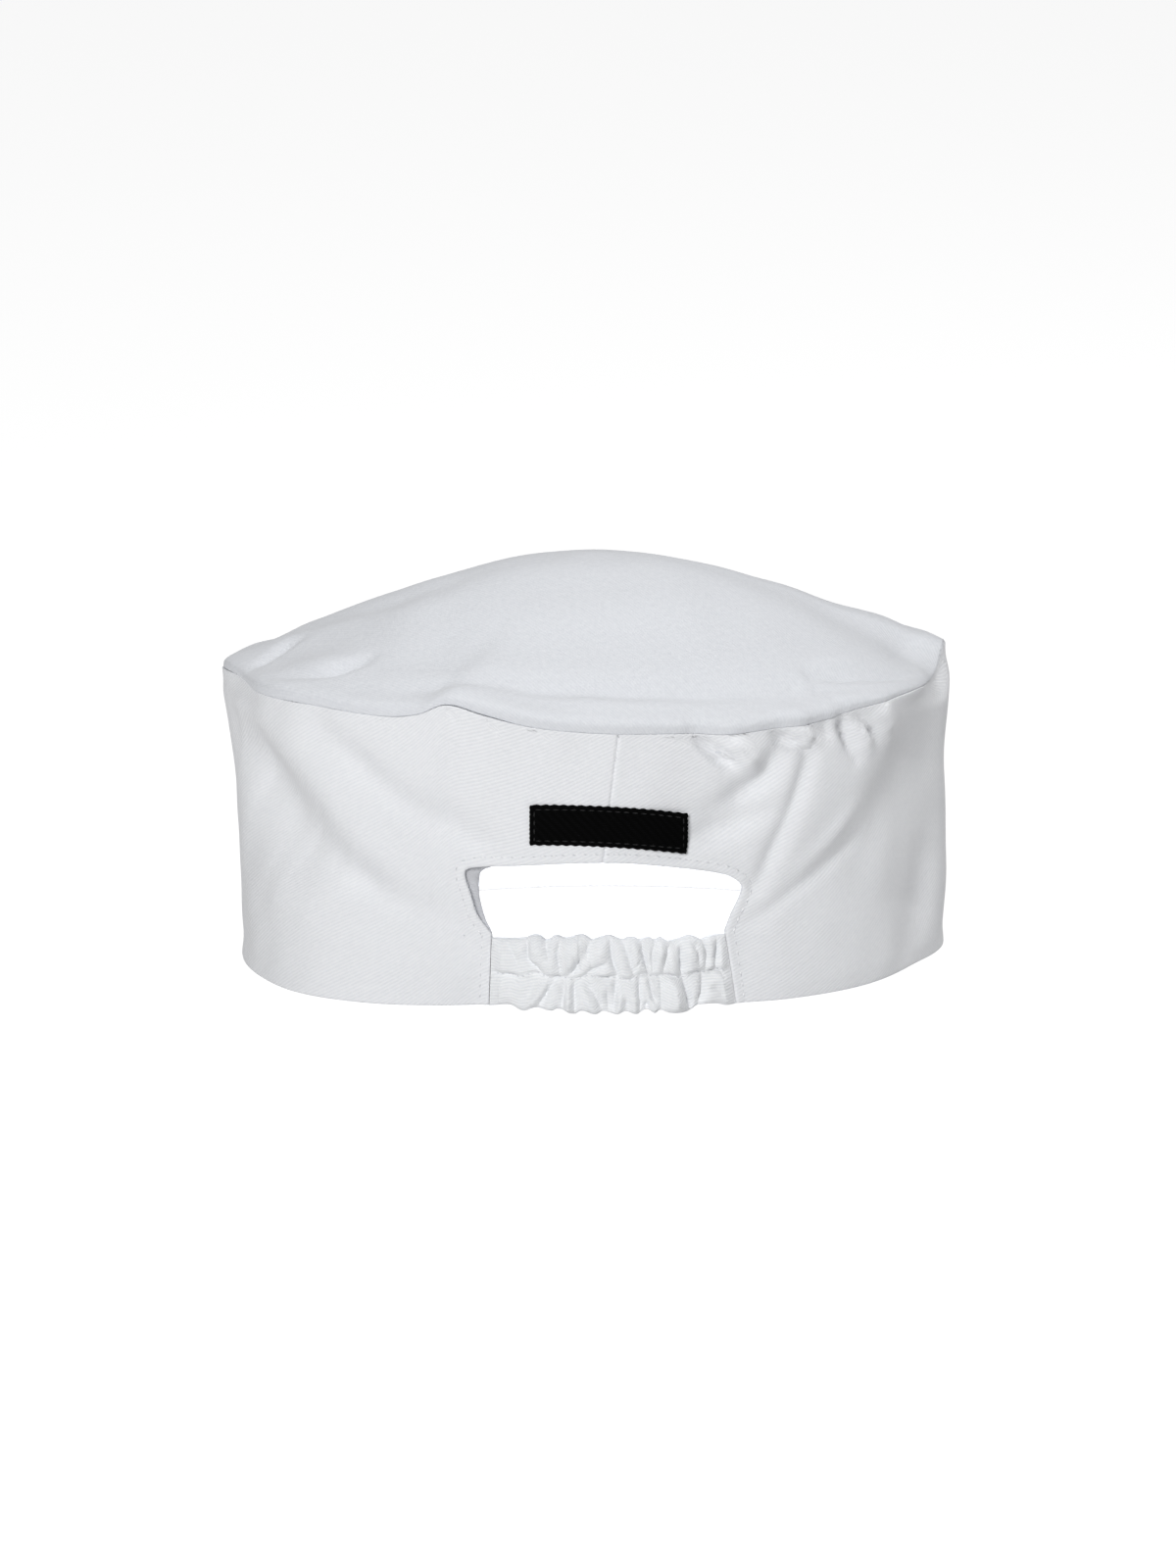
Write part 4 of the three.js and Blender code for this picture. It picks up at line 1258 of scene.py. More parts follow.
def seen_or_thrown(tree: bpy.types.NodeTree, seen: float, thrown: float) -> bpy.types.NodeSocket:
    """Give one brightness to the eye and another to the light that falls on the cap.

    Args:
        tree: The node tree to add to.
        seen: Brightness seen directly.
        thrown: Brightness that lights other things.

    Returns:
        The socket that carries it.
    """
    direct = add_node(tree, "ShaderNodeLightPath").outputs["Is Camera Ray"]
    chosen = {"Value": direct, "To Min": thrown, "To Max": seen}
    return add_node(tree, "ShaderNodeMapRange", None, chosen).outputs["Result"]


@dataclass(frozen=True)
class SweepPaper:
    """The pale paper sweep under the cap, bright to the eye but throwing back only a little light."""

    white: str = "#828282"
    glow: float = 0.9
    thrown_back: float = 0.45

    def material(self) -> bpy.types.Material:
        """Make the floor's material.

        Returns:
            A matt white that also glows softly, less on the cap than in the picture.
        """
        made = bare_material("sweep_paper")
        tree = made.node_tree
        glow = seen_or_thrown(tree, self.glow, self.thrown_back)
        paper = add_node(
            tree,
            "ShaderNodeBsdfPrincipled",
            None,
            {
                "Base Color": linear(self.white),
                "Roughness": 0.9,
                "Specular IOR Level": 0.1,
                "Emission Color": (1.0, 1.0, 1.0, 1.0),
                "Emission Strength": glow,
            },
        )
        add_node(tree, "ShaderNodeOutputMaterial", None, {"Surface": paper.outputs["BSDF"]})
        return made


@dataclass
class Columns:
    """Turns of the mesh columns round the cap, closest at the back and beside the back seam."""

    form: CapForm
    back_seam_top: float = 3.7
    back_seam_foot: float = -0.9
    # How far to each side and up the opening's edge is looked for, and what counts as far from it
    near_across: float = 60.0
    far: float = 99.0
    turns: np.ndarray = field(init=False)
    left: int = field(init=False)
    right: int = field(init=False)
    left_edge: np.ndarray = field(init=False)
    top_edge: np.ndarray = field(init=False)
    right_edge: np.ndarray = field(init=False)

    def __post_init__(self) -> None:
        """Find the opening's two upper corners and lay the columns out between and beyond them."""
        outline = self.form.arch()
        step = np.diff(outline, axis=0)
        over = np.nonzero(step[:, 0] > np.abs(step[:, 1]))[0]
        first, last = over[0], over[-1] + 1
        self.left_edge, self.top_edge = outline[: first + 1], outline[first : last + 1]
        self.right_edge = outline[last:][::-1]
        corner_turns, _ = self.form.place(outline[[first, last], 0], outline[[first, last], 1])
        left, right = float(corner_turns[0]), float(corner_turns[1])
        seam = math.degrees(self.back_seam_top / self.form.half_width)
        where = np.array([left, seam - 2.5, seam - 0.7, seam + 0.7, seam + 2.5, right])
        spacing = np.array([0.45, 0.5, 0.14, 0.14, 0.5, 0.45])
        inner = even_steps(left, right, spacing, where)
        back_again = left + FULL_TURN
        where = np.array([right, right + 6, 70, 110, 180, 250, 290, back_again - 6, back_again])
        spacing = np.array([0.45, 0.55, 0.75, 1.3, 1.9, 1.3, 0.75, 0.55, 0.45])
        outer = even_steps(right, back_again, spacing, where)
        outer = np.where(outer > FULL_TURN / 2, outer - FULL_TURN, outer)
        self.turns = np.concatenate([inner, outer[1:-1]])
        self.left, self.right = 0, len(inner) - 1

    @property
    def over_opening(self) -> np.ndarray:
        """Tell which columns stand over the opening."""
        number = np.arange(len(self.turns))
        return (number >= self.left) & (number <= self.right)

    def edge_turn(self, side: int, height: np.ndarray) -> np.ndarray:
        """Give the turn of the opening's left or right edge at heights up to its corner.

        Args:
            side: -1 for the left edge and 1 for the right.
            height: Heights in millimetres.

        Returns:
            Turns in degrees.
        """
        edge = self.left_edge if side < 0 else self.right_edge
        low = np.array([0.0, self.form.casing_height - 0.01])
        heights = np.concatenate([low, edge[:, 1]])
        across = np.interp(height, heights, np.concatenate([self.form.casing_end(side, low), edge[:, 0]]))
        turn, _ = self.form.place(across, height)
        return turn

    def edge_gap(self, points: np.ndarray) -> np.ndarray:
        """Give how far points at the back are from the opening and the casing's ends, seen from behind.

        Args:
            points: Points in millimetres, xyz on the last axis.

        Returns:
            Distances in millimetres, the far distance for points that aren't near the back.
        """
        low = np.array([0.0, self.form.casing_height])
        left = np.stack([self.form.casing_end(-1, low), low], axis=-1)
        right = np.stack([self.form.casing_end(1, low), low], axis=-1)[::-1]
        line = np.concatenate([left[:1], self.form.arch(120), right[-1:]])
        place = points[..., [0, 2]]
        best = np.full(place.shape[:-1], self.far)
        near = np.all(np.abs(place) < self.near_across, axis=-1) & (points[..., 1] < 0)
        chosen = place[near]
        closest = np.full(len(chosen), self.far)
        for a, b in zip(line[:-1], line[1:]):
            run = b - a
            f = np.clip(((chosen - a) @ run) / max(run @ run, 1e-9), 0, 1)
            closest = np.minimum(closest, np.linalg.norm(chosen - a - f[:, None] * run, axis=1))
        best[near] = closest
        return best


@dataclass
class Part:
    """One piece of the cap: its object, its finish and how it stands for the solids."""

    thing: bpy.types.Object
    material: bpy.types.Material
    slot: Slot
    node: str | None = None

    def dress(self) -> bpy.types.Object:
        """Give the piece its material and fix it to the frame.

        Returns:
            The piece's object.
        """
        self.thing.data.materials.append(self.material)
        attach(self.thing, "root")
        if self.node is not None:
            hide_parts(self.node)
        LOG.info("%s: %d faces", self.thing.name, len(self.thing.data.polygons))
        return self.thing


@dataclass
class BandGrid:
    """The band's grid: turn and height of each point, depth of each row, and what the rows are."""

    turn: np.ndarray
    height: np.ndarray
    depth: np.ndarray
    outside: np.ndarray
    meet_row: int
    top_row: int


@dataclass
class SideBand:
    """The upright band: one strip of drill, its hem turned up inside and its top in the seam."""

    form: CapForm
    columns: Columns
    thickness: float = 0.7
    hem_turned: float = 22.0
    hem_radius: float = 0.75
    seam_radius: float = 0.28
    allowance: float = 8.0
    lower_rows: int = 36
    upper_rows: int = 46
    corner_blend: float = 25.0
    common_height: float = 41.0
    # The turned edge of the opening stands up in a roll and is drawn in along its stitches
    edge_roll: float = 0.18
    stitch_in: float = 2.4
    stitch_groove: float = 0.22
    # The back seam is a groove between two low shoulders
    seam_groove: float = 0.45
    seam_shoulder: float = 0.07
    undulation: Undulation = field(default_factory=lambda: Undulation(11, 55.0, 13.0, 0.4))

    def heights(self, turn: np.ndarray) -> tuple[np.ndarray, np.ndarray]:
        """Give the heights that part the columns' rows.

        Args:
            turn: Turn of each column, in degrees.

        Returns:
            The height where the rows meet the opening's top, and the seam's, in millimetres.
        """
        columns = self.columns
        seam = self.form.band_height * self.form.seam_share(turn)
        left, right = columns.top_edge[0, 1], columns.top_edge[-1, 1]
        near_left = 1 - smooth((turn[columns.left] - turn) / self.corner_blend)
        near_right = 1 - smooth((turn - turn[columns.right]) / self.corner_blend)
        away_left = (turn < turn[columns.left]) * near_left * (left - self.common_height)
        away_right = (turn > turn[columns.right]) * near_right * (right - self.common_height)
        meet = self.common_height + away_left + away_right
        return meet, seam

    def layout(self) -> BandGrid:
        """Lay out the strip's grid as turns, heights and depths, from the turned hem to the seam.

        Returns:
            The grid.
        """
        form, columns = self.form, self.columns
        base = columns.turns
        over = columns.over_opening
        slant_top = math.degrees(columns.back_seam_top / form.half_width)
        slant_foot = math.degrees(columns.back_seam_foot / form.half_width)
        drift = (slant_foot - slant_top) * bell(base - slant_top, 8.0) * over
        meet, seam = self.heights(base)
        at_foot = base + drift
        for _ in range(3):
            up = meet / (form.band_height * form.seam_share(at_foot))
            across = form.wall(at_foot, up)[:, 0]
            outline = np.interp(across, columns.top_edge[:, 0], columns.top_edge[:, 1])
            meet = np.where(over, outline, meet)
        hem = self.hem_radius
        turned = np.array([self.hem_turned, self.hem_turned - 1.2, 17.0, 12.0, 7.0, 3.0])
        fold = np.radians([150, 120, 90, 60, 30])
        lower = np.linspace(0, 1, self.lower_rows + 1)
        upper = np.linspace(0, 1, self.upper_rows + 1)[1:]
        count = len(base)
        ones = np.ones((count, 1))
        low_part = hem + (meet[:, None] - hem) * lower
        top = seam[:, None] - self.seam_radius
        high_part = meet[:, None] + (top - meet[:, None]) * upper
        bend = np.radians([30, 60, 90])
        r = self.seam_radius
        rolled = top + r * np.sin(bend)
        back_over = top + r * np.array([1.0, np.sin(np.radians(45)), 0.0])
        tucked = top - np.array([1.5, 3.5, 5.5, self.allowance - r])
        folded_up = ones * (hem - hem * np.sin(fold))
        height = np.concatenate(
            [ones * turned, folded_up, low_part, high_part, rolled, back_over, tucked], axis=1
        )
        depth = np.concatenate(
            [
                np.full(len(turned), 2 * hem),
                hem - hem * np.cos(fold),
                np.zeros(len(lower) + len(upper)),
                r - r * np.cos(bend),
                np.array([r + 0.2, r + 0.2 + r * np.sin(np.radians(45)), 2 * r + 0.2]),
                np.full(4, 2 * r + 0.2),
            ]
        )
        first = len(turned) + len(fold)
        meet_row = first + self.lower_rows
        top_row = meet_row + self.upper_rows
        outside = np.zeros(len(depth), dtype=bool)
        outside[first : top_row + 1] = True
        turn = np.repeat(base[:, None], len(depth), axis=1)
        corner_rows = np.minimum(height, meet[:, None])
        for side, corner in ((-1, columns.left), (1, columns.right)):
            gap = (base - base[corner]) * side
            weight = np.where(gap >= 0, (1 - np.clip(gap / self.corner_blend, 0, 1)) ** 2, 0.0)
            shift = columns.edge_turn(side, corner_rows[corner]) - base[corner]
            shift[meet_row:] = 0
            turn += weight[:, None] * shift[None, :]
        climb = np.clip((height - meet[:, None]) / (seam - meet)[:, None], 0, 1)
        turn += drift[:, None] * (1 - climb)
        return BandGrid(turn, height, depth, outside, meet_row, top_row)

    def surface(self, turn: np.ndarray, up: np.ndarray) -> np.ndarray:
        """Give points of the dressed outer face, with the cloth's finer shapes.

        Args:
            turn: Turns round the cap, in degrees.
            up: Shares of the band's height.

        Returns:
            Points in millimetres.
        """
        form = self.form
        base = form.wall(turn, up)
        out = form.wall_out(turn, up)
        gap = self.columns.edge_gap(base)
        lift = self.undulation.at(base)
        lift = lift * smooth((self.form.band_height * up) / 6) * smooth(gap / 8)
        lift = lift + self.edge_roll * bell(gap - 1.0, 0.9)
        lift = lift - self.stitch_groove * bell(gap - self.stitch_in, 0.6)
        lift = lift - form.folds(turn, up, TUCKS) * smooth((1 - up) / 0.03)
        seam_top, seam_foot = self.columns.back_seam_top, self.columns.back_seam_foot
        height = base[..., 2]
        climbed = (height - form.opening_top) / (form.band_height - form.opening_top)
        off = base[..., 0] - (seam_foot + (seam_top - seam_foot) * climbed)
        at_back = (base[..., 1] < 0) & (height > form.opening_top - 3)
        shoulders = self.seam_shoulder * bell(np.abs(off) - 1.4, 0.9)
        lift = lift + at_back * (shoulders - self.seam_groove * bell(off, 0.4))
        return base + out * lift[..., None]

    def build(self, material: bpy.types.Material, thread: bpy.types.Material) -> bpy.types.Object:
        """Make the band and its row of stitches round the opening.

        Args:
            material: The band's finish.
            thread: The finish of its stitches.

        Returns:
            The band's object.
        """
        grid = self.layout()
        turn, height, depth = grid.turn, grid.height, grid.depth
        form = self.form
        up = np.clip(height / (form.band_height * form.seam_share(turn)), 0, 1)
        dressed = self.surface(turn, up)
        plain = form.inside(turn, up, np.broadcast_to(depth, turn.shape))
        turned = plain + dressed - form.wall(turn, up)
        points = np.where(grid.outside[None, :, None], dressed, turned)
        points[..., 2] = height
        along = np.radians(turn) * 0.5 * (form.half_width + form.half_depth)
        smoothed = form.wall(turn, up, 0)
        smoothed[..., 2] = height
        steps = np.linalg.norm(np.diff(smoothed, axis=1), axis=2)
        run = np.concatenate([np.zeros((len(turn), 1)), np.cumsum(steps, axis=1)], axis=1)
        run = run - run[:, grid.top_row][:, None]
        chart = np.stack([along, run], axis=-1)
        whole = np.array([math.pi * (form.half_width + form.half_depth), 0.0])
        chart = np.where(chart[..., :1] < chart[:1, :, :1] - 1e-6, chart + whole, chart)
        chart = np.concatenate([chart, chart[:1] + whole])
        present = np.ones((len(turn), len(depth) - 1), dtype=bool)
        present[self.columns.left : self.columns.right, : grid.meet_row] = False
        cloth = ClothGrid(points, chart, present, self.thickness, goes_round=True)
        band = Part(cloth.build("band_cloth", form), material, Slot.BAND, "side_band").dress()
        stitches = self.stitches(thread)
        return band

    def stitches(self, thread: bpy.types.Material) -> bpy.types.Object:
        """Sew the turned edge of the opening down, from hem to hem.

        Args:
            thread: The stitches' finish.

        Returns:
            The stitches' object.
        """
        form = self.form
        outline = form.arch(160)
        low = np.linspace(1.5, form.casing_height, 12)[:-1]
        left = np.stack([form.casing_end(-1, low), low], axis=-1)
        right = np.stack([form.casing_end(1, low), low], axis=-1)[::-1]
        line = np.concatenate([left, outline, right])
        along = unit(np.gradient(line, axis=0))
        away = np.stack([-along[:, 1], along[:, 0]], axis=-1)
        inset = np.where(line[:, 1] < form.casing_height, 2.6, self.stitch_in)
        inset = np.convolve(np.pad(inset, 6, mode="edge"), np.ones(13) / 13, mode="valid")
        line = line + away * inset[:, None]
        line[:, 1] = np.maximum(line[:, 1], 1.0)
        turn, up = form.place(line[:, 0], line[:, 1])
        row = StitchRow().build("opening_stitches", form, self.surface(turn, up), form.wall_out(turn, up))
        return Part(row, thread, Slot.BAND).dress()


@dataclass
class Crown:
    """The crown: an oval of drill sewn to the band, pushed up into a soft dome."""

    form: CapForm
    columns: Columns
    thickness: float = 0.7
    roll: float = 0.28
    allowance: float = 8.0
    # How deep its allowance hangs inside the band, and how clear of the band's top it passes over
    tucked_depth: float = 1.45
    seam_clearance: float = 0.05
    # The cloth puffs up just inside the seam, less so at both ends of the crown
    puff: float = 1.1
    puff_height: float = 3.0
    puff_spread: float = 2.4
    undulation: Undulation = field(default_factory=lambda: Undulation(23, 60.0, 18.0, 0.35))

    def reaches(self) -> np.ndarray:
        """Give the reaches of the dome's rows, closest at the seam.

        Returns:
            Falling shares of the way from the peak to the seam.
        """
        where = np.array([0.02, 0.8, 0.9, 0.96, 0.996])
        spacing = np.array([0.022, 0.017, 0.011, 0.005, 0.003])
        return even_steps(where[0], where[-1], spacing, where)[::-1]

    def build(self, material: bpy.types.Material) -> bpy.types.Object:
        """Make the crown.

        Args:
            material: Its finish.

        Returns:
            The crown's object.
        """
        form = self.form
        turn = self.columns.turns
        seam = form.band_height * form.seam_share(turn)
        one = np.ones_like(turn)
        r = self.roll
        clear, hidden = self.seam_clearance, self.tucked_depth
        heights = [-self.allowance, -5.0, -2.0, -r, -0.3 * r, clear, clear]
        depths = [hidden, hidden, hidden, hidden, 1.27, 0.8, r]
        for angle in np.radians([30, 60, 90]):
            heights.append(clear + r - r * math.cos(angle))
            depths.append(r - r * math.sin(angle))
        tucked = []
        for height, depth in zip(heights, depths):
            up = np.clip((seam + height) / seam, 0, 1)
            points = form.inside(turn, up, one * depth)
            points[:, 2] = seam + height
            tucked.append(points)
        reaches = self.reaches()
        rows = form.crown_row(reaches)
        dome = form.crown(turn[:, None], rows[None, :])
        normal = self.outward(dome)
        rise = dome[..., 2] - seam[:, None]
        lift = self.undulation.at(dome) * smooth((1 - reaches) / 0.1)[None, :]
        uneven = 1 + 0.5 * np.sin(np.radians(turn) * 11 + 1.3) * np.sin(np.radians(turn) * 4)
        uneven = uneven * (1 - 0.9 * bell(turn - 86, 24) - 0.3 * bell(turn + 90, 12))
        puffed = bell(rise - self.puff_height, self.puff_spread) * smooth(rise / 1.2)
        lift = lift + self.puff * uneven[:, None] * puffed
        dome = dome + normal * lift[..., None]
        points = np.concatenate([np.stack(tucked, axis=1), dome], axis=1)
        pole = form.crown(np.array([0.0]), np.array([len(CROWN) - 1.0]))[0]
        pole[2] = dome[:, -1, 2].mean() + 0.02
        chart = self.chart(points, pole)
        present = np.ones((len(turn), points.shape[1] - 1), dtype=bool)
        cloth = ClothGrid(points, chart, present, self.thickness, goes_round=True, pole=pole)
        crown = Part(cloth.build("crown_cloth", form), material, Slot.CROWN, "crown_top").dress()
        return crown

    @staticmethod
    def outward(dome: np.ndarray) -> np.ndarray:
        """Give unit normals out of a dome that goes round."""
        around = np.roll(dome, -1, axis=0) - np.roll(dome, 1, axis=0)
        return unit(np.cross(around, np.gradient(dome, axis=1)))

    @staticmethod
    def chart(points: np.ndarray, pole: np.ndarray) -> np.ndarray:
        """Lay the crown flat round its peak, each place as far from it as the cloth runs.

        Args:
            points: The crown's grid of points.
            pole: Its peak.

        Returns:
            Places on the chart in millimetres, with the first column again at the end.
        """
        steps = np.linalg.norm(np.diff(points, axis=1), axis=2)
        inner = np.linalg.norm(points[:, -1] - pole, axis=1)
        inwards = np.cumsum(steps[:, ::-1], axis=1)[:, ::-1]
        run = inner[:, None] + np.concatenate([inwards, np.zeros((len(points), 1))], axis=1)
        flat = unit(points[..., :2] - pole[:2])
        laid = flat * run[..., None]
        return np.concatenate([laid, laid[:1]])


@dataclass
class ElasticCasing:
    """The casing under the opening: two channels of cloth, each ruffled on its own elastic."""

    form: CapForm
    count: int = 340
    proud: float = 3.0
    thickness: float = 2.0
    cloth: float = 1.2
    ruffle_depth: float = 3.2
    deepest: float = 1.1
    # How high up each channel its edge's shape reaches, as a share of the casing's height
    edge_reach: float = 0.28
    sway: float = 0.5
    middle: float = 0.49
    flat_end: float = 0.05
    gap: float = 0.3
    # Small random creases between the ruffles
    fine_creases: int = 40
    seed: int = 5

    def chart(self, along: np.ndarray, up: np.ndarray) -> np.ndarray:
        """Lay the casing flat, in millimetres."""
        length, height = 2 * self.form.casing_half_width * along, self.form.casing_height * up
        return np.stack(np.broadcast_arrays(length, height), axis=-1)

    def fine_relief(self, along: np.ndarray, up: np.ndarray) -> np.ndarray:
        """Give the small random creases between the ruffles.

        Args:
            along: Shares of the casing's length.
            up: Shares of its height.

        Returns:
            How far they stand out, in millimetres.
        """
        rng = np.random.default_rng(self.seed)
        relief = np.zeros(along.shape)
        for _ in range(self.fine_creases):
            place, lean, spread = rng.uniform(0.03, 0.97), rng.normal(0, 0.12), rng.uniform(0.004, 0.012)
            centre, reach = rng.uniform(0.0, 1.0), rng.uniform(0.08, 0.2)
            beside = bell(along - place - lean * (up - centre), spread)
            relief += rng.uniform(-0.25, 0.5) * beside * bell(up - centre, reach)
        return relief

    def ruffled(self, along: np.ndarray, up: np.ndarray) -> np.ndarray:
        """Give how far the ruffles press the cloth in.

        Args:
            along: Shares of the casing's length.
            up: Shares of its height.

        Returns:
            Shares of the ruffle depth.
        """
        place = self.chart(along, up)
        return sum(ruffle.press(place, self.chart, self.form.casing_height) for ruffle in RUFFLES)

    def build(self, material: bpy.types.Material, thread: bpy.types.Material) -> bpy.types.Object:
        """Make the casing with the stitch line between its channels.

        Args:
            material: Its finish.
            thread: The finish of its stitches.

        Returns:
            The casing's object.
        """
        form = self.form
        section = np.array(CASING_SECTION)
        spacing = np.array([0.018, 0.024, 0.009, 0.024, 0.018])
        up = even_steps(0.0, 1.0, spacing, np.linspace(0, 1, len(spacing)))
        along = np.linspace(0, 1, self.count + 1)
        a, u = np.meshgrid(along, up, indexing="ij")
        swell = np.clip(np.minimum(a, 1 - a) / self.flat_end, 0, 1)
        pressed = np.minimum(self.ruffled(a, u), self.deepest) * swell
        level = u * form.casing_height
        left = form.casing_end(-1, level) + self.gap
        right = form.casing_end(1, level) - self.gap
        across = left + (right - left) * a
        bulge = self.proud - self.ruffle_depth * pressed
        out_share = np.interp(u, section[:, 0], section[:, 1])
        # In places the cloth bridges the valley between the channels, which two beats choose
        bridged = 0.4 + 0.4 * np.cos(2 * np.pi * (3.1 * a + 0.1)) * np.cos(2 * np.pi * (7.7 * a + 0.35))
        out_share = out_share + (0.7 - out_share) * bridged * bell(u - self.middle, 0.05)
        in_share = np.interp(u, section[:, 0], section[:, 2])
        creases = self.fine_relief(a, u)
        outer_depth = -(bulge * out_share + 0.15) * swell + creases * swell * out_share
        packed = (self.thickness - self.cloth) * in_share * swell
        inner_depth = self.cloth + packed + 0.4 * np.maximum(pressed, 0) * in_share
        foot, head = (read_through(*np.array(table).T, a) for table in (CASING_FOOT, CASING_HEAD))
        near_foot, near_head = (1 - smooth(away / self.edge_reach) for away in (u, 1 - u))
        edge = foot * near_foot + head * near_head
        outer = form.behind(across, level, outer_depth)
        # The line between the channels wanders up and down
        beat = np.cos(2 * np.pi * (4.3 * a + 0.15)) + 0.7 * np.cos(2 * np.pi * (9.2 * a + 0.3))
        edge = edge + self.sway * beat * bell(u - self.middle, 0.2) * swell
        outer[..., 2] = level + edge
        inner = form.behind(across, level, inner_depth)
        inner[..., 2] = level + edge
        rings = np.concatenate([outer, inner[:, ::-1]], axis=1)
        middle_run = np.linalg.norm(np.diff(outer[:, len(up) // 3], axis=0), axis=1)
        laid = np.concatenate([[0.0], np.cumsum(middle_run)])
        closed = np.concatenate([rings, rings[:, :1]], axis=1)
        steps = np.linalg.norm(np.diff(closed, axis=1), axis=2)
        around = np.concatenate([np.zeros((len(along), 1)), np.cumsum(steps, axis=1)], axis=1)
        chart = np.stack([np.repeat(laid[:, None], closed.shape[1], axis=1), around], axis=-1)
        tube = closed_tube("casing_cloth", form, rings, chart)
        casing = Part(tube, material, Slot.CASING, "elastic_casing").dress()
        middle = int(np.argmin(np.abs(up - self.middle)))
        line = outer[:, middle]
        turn, share = form.place(line[:, 0], line[:, 2])
        row = StitchRow(length=1.7, pitch=2.2, radius=0.2, proud=0.16)
        stitches = row.build("casing_stitches", form, line[6:-6], form.wall_out(turn, share)[6:-6])
        Part(stitches, thread, Slot.CASING).dress()
        return casing


@dataclass
class OpeningFacing:
    """The strip that backs the edge of the opening and peeps out at its upper left."""

    form: CapForm
    count: int = 170
    rows: int = 15
    width: float = 8.0
    thickness: float = 0.7
    depth: float = 0.95
    tucked_back: float = 2.3
    below: float = 2.5

    def edges(self) -> tuple[np.ndarray, np.ndarray, np.ndarray]:
        """Draw the two long edges of the strip, seen from behind.

        Returns:
            The edge in the opening, the edge behind the band, and how far the strip peeps out.
        """
        form = self.form
        low = np.linspace(form.casing_height - self.below, form.casing_height, 12)[:-1]
        left = np.stack([form.casing_end(-1, low), low], axis=-1)
        right = np.stack([form.casing_end(1, low), low], axis=-1)[::-1]
        outline = np.concatenate([left, form.arch(600), right])
        run = np.concatenate([[0.0], np.cumsum(np.linalg.norm(np.diff(outline, axis=0), axis=1))])
        at = np.linspace(0, run[-1], self.count + 1)
        line = np.stack([np.interp(at, run, outline[:, c]) for c in (0, 1)], axis=-1)
        along = unit(np.gradient(line, axis=0))
        away = np.stack([-along[:, 1], along[:, 0]], axis=-1)
        peep = np.array(PEEP)
        end = int(np.nonzero(line[:, 0] > peep[-1, 0])[0][0])
        start = int(np.nonzero(line[:, 1] > peep[0, 1])[0][0])
        peep_run = np.concatenate([[0.0], np.cumsum(np.linalg.norm(np.diff(peep, axis=0), axis=1))])
        share = (at[start:end] - at[start]) / (at[end] - at[start])
        keys = np.linspace(0, 1, len(peep))
        where = np.interp(share, peep_run / peep_run[-1], keys)
        seen = line.copy()
        seen[start:end] = np.stack([read_through(keys, peep[:, c], where) for c in (0, 1)], axis=-1)
        shown = np.linalg.norm(seen - line, axis=1)
        return seen + 0.25 * away * (shown < 0.5)[:, None], line + self.width * away, shown

    def build(self, material: bpy.types.Material) -> bpy.types.Object:
        """Make the facing.

        Args:
            material: Its finish.

        Returns:
            The facing's object.
        """
        seen, hidden, shown = self.edges()
        rows = np.linspace(0, 1, self.rows)
        place = seen[:, None, :] + (hidden - seen)[:, None, :] * rows[None, :, None]
        deeper = self.depth + self.tucked_back * smooth(shown / 3.0)[:, None] * (1 - rows[None, :]) ** 3
        points = self.form.behind(place[..., 0], place[..., 1], deeper)
        across = np.linalg.norm(hidden - seen, axis=1)[:, None] * rows[None, :]
        run = np.concatenate([[0.0], np.cumsum(np.linalg.norm(np.diff(hidden, axis=0), axis=1))])
        chart = np.stack(np.broadcast_arrays(run[:, None], across), axis=-1)
        present = np.ones((self.count, self.rows - 1), dtype=bool)
        cloth = ClothGrid(points, chart, present, self.thickness)
        facing = Part(cloth.build("facing_cloth", self.form), material, Slot.FACING, "opening_facing").dress()
        return facing


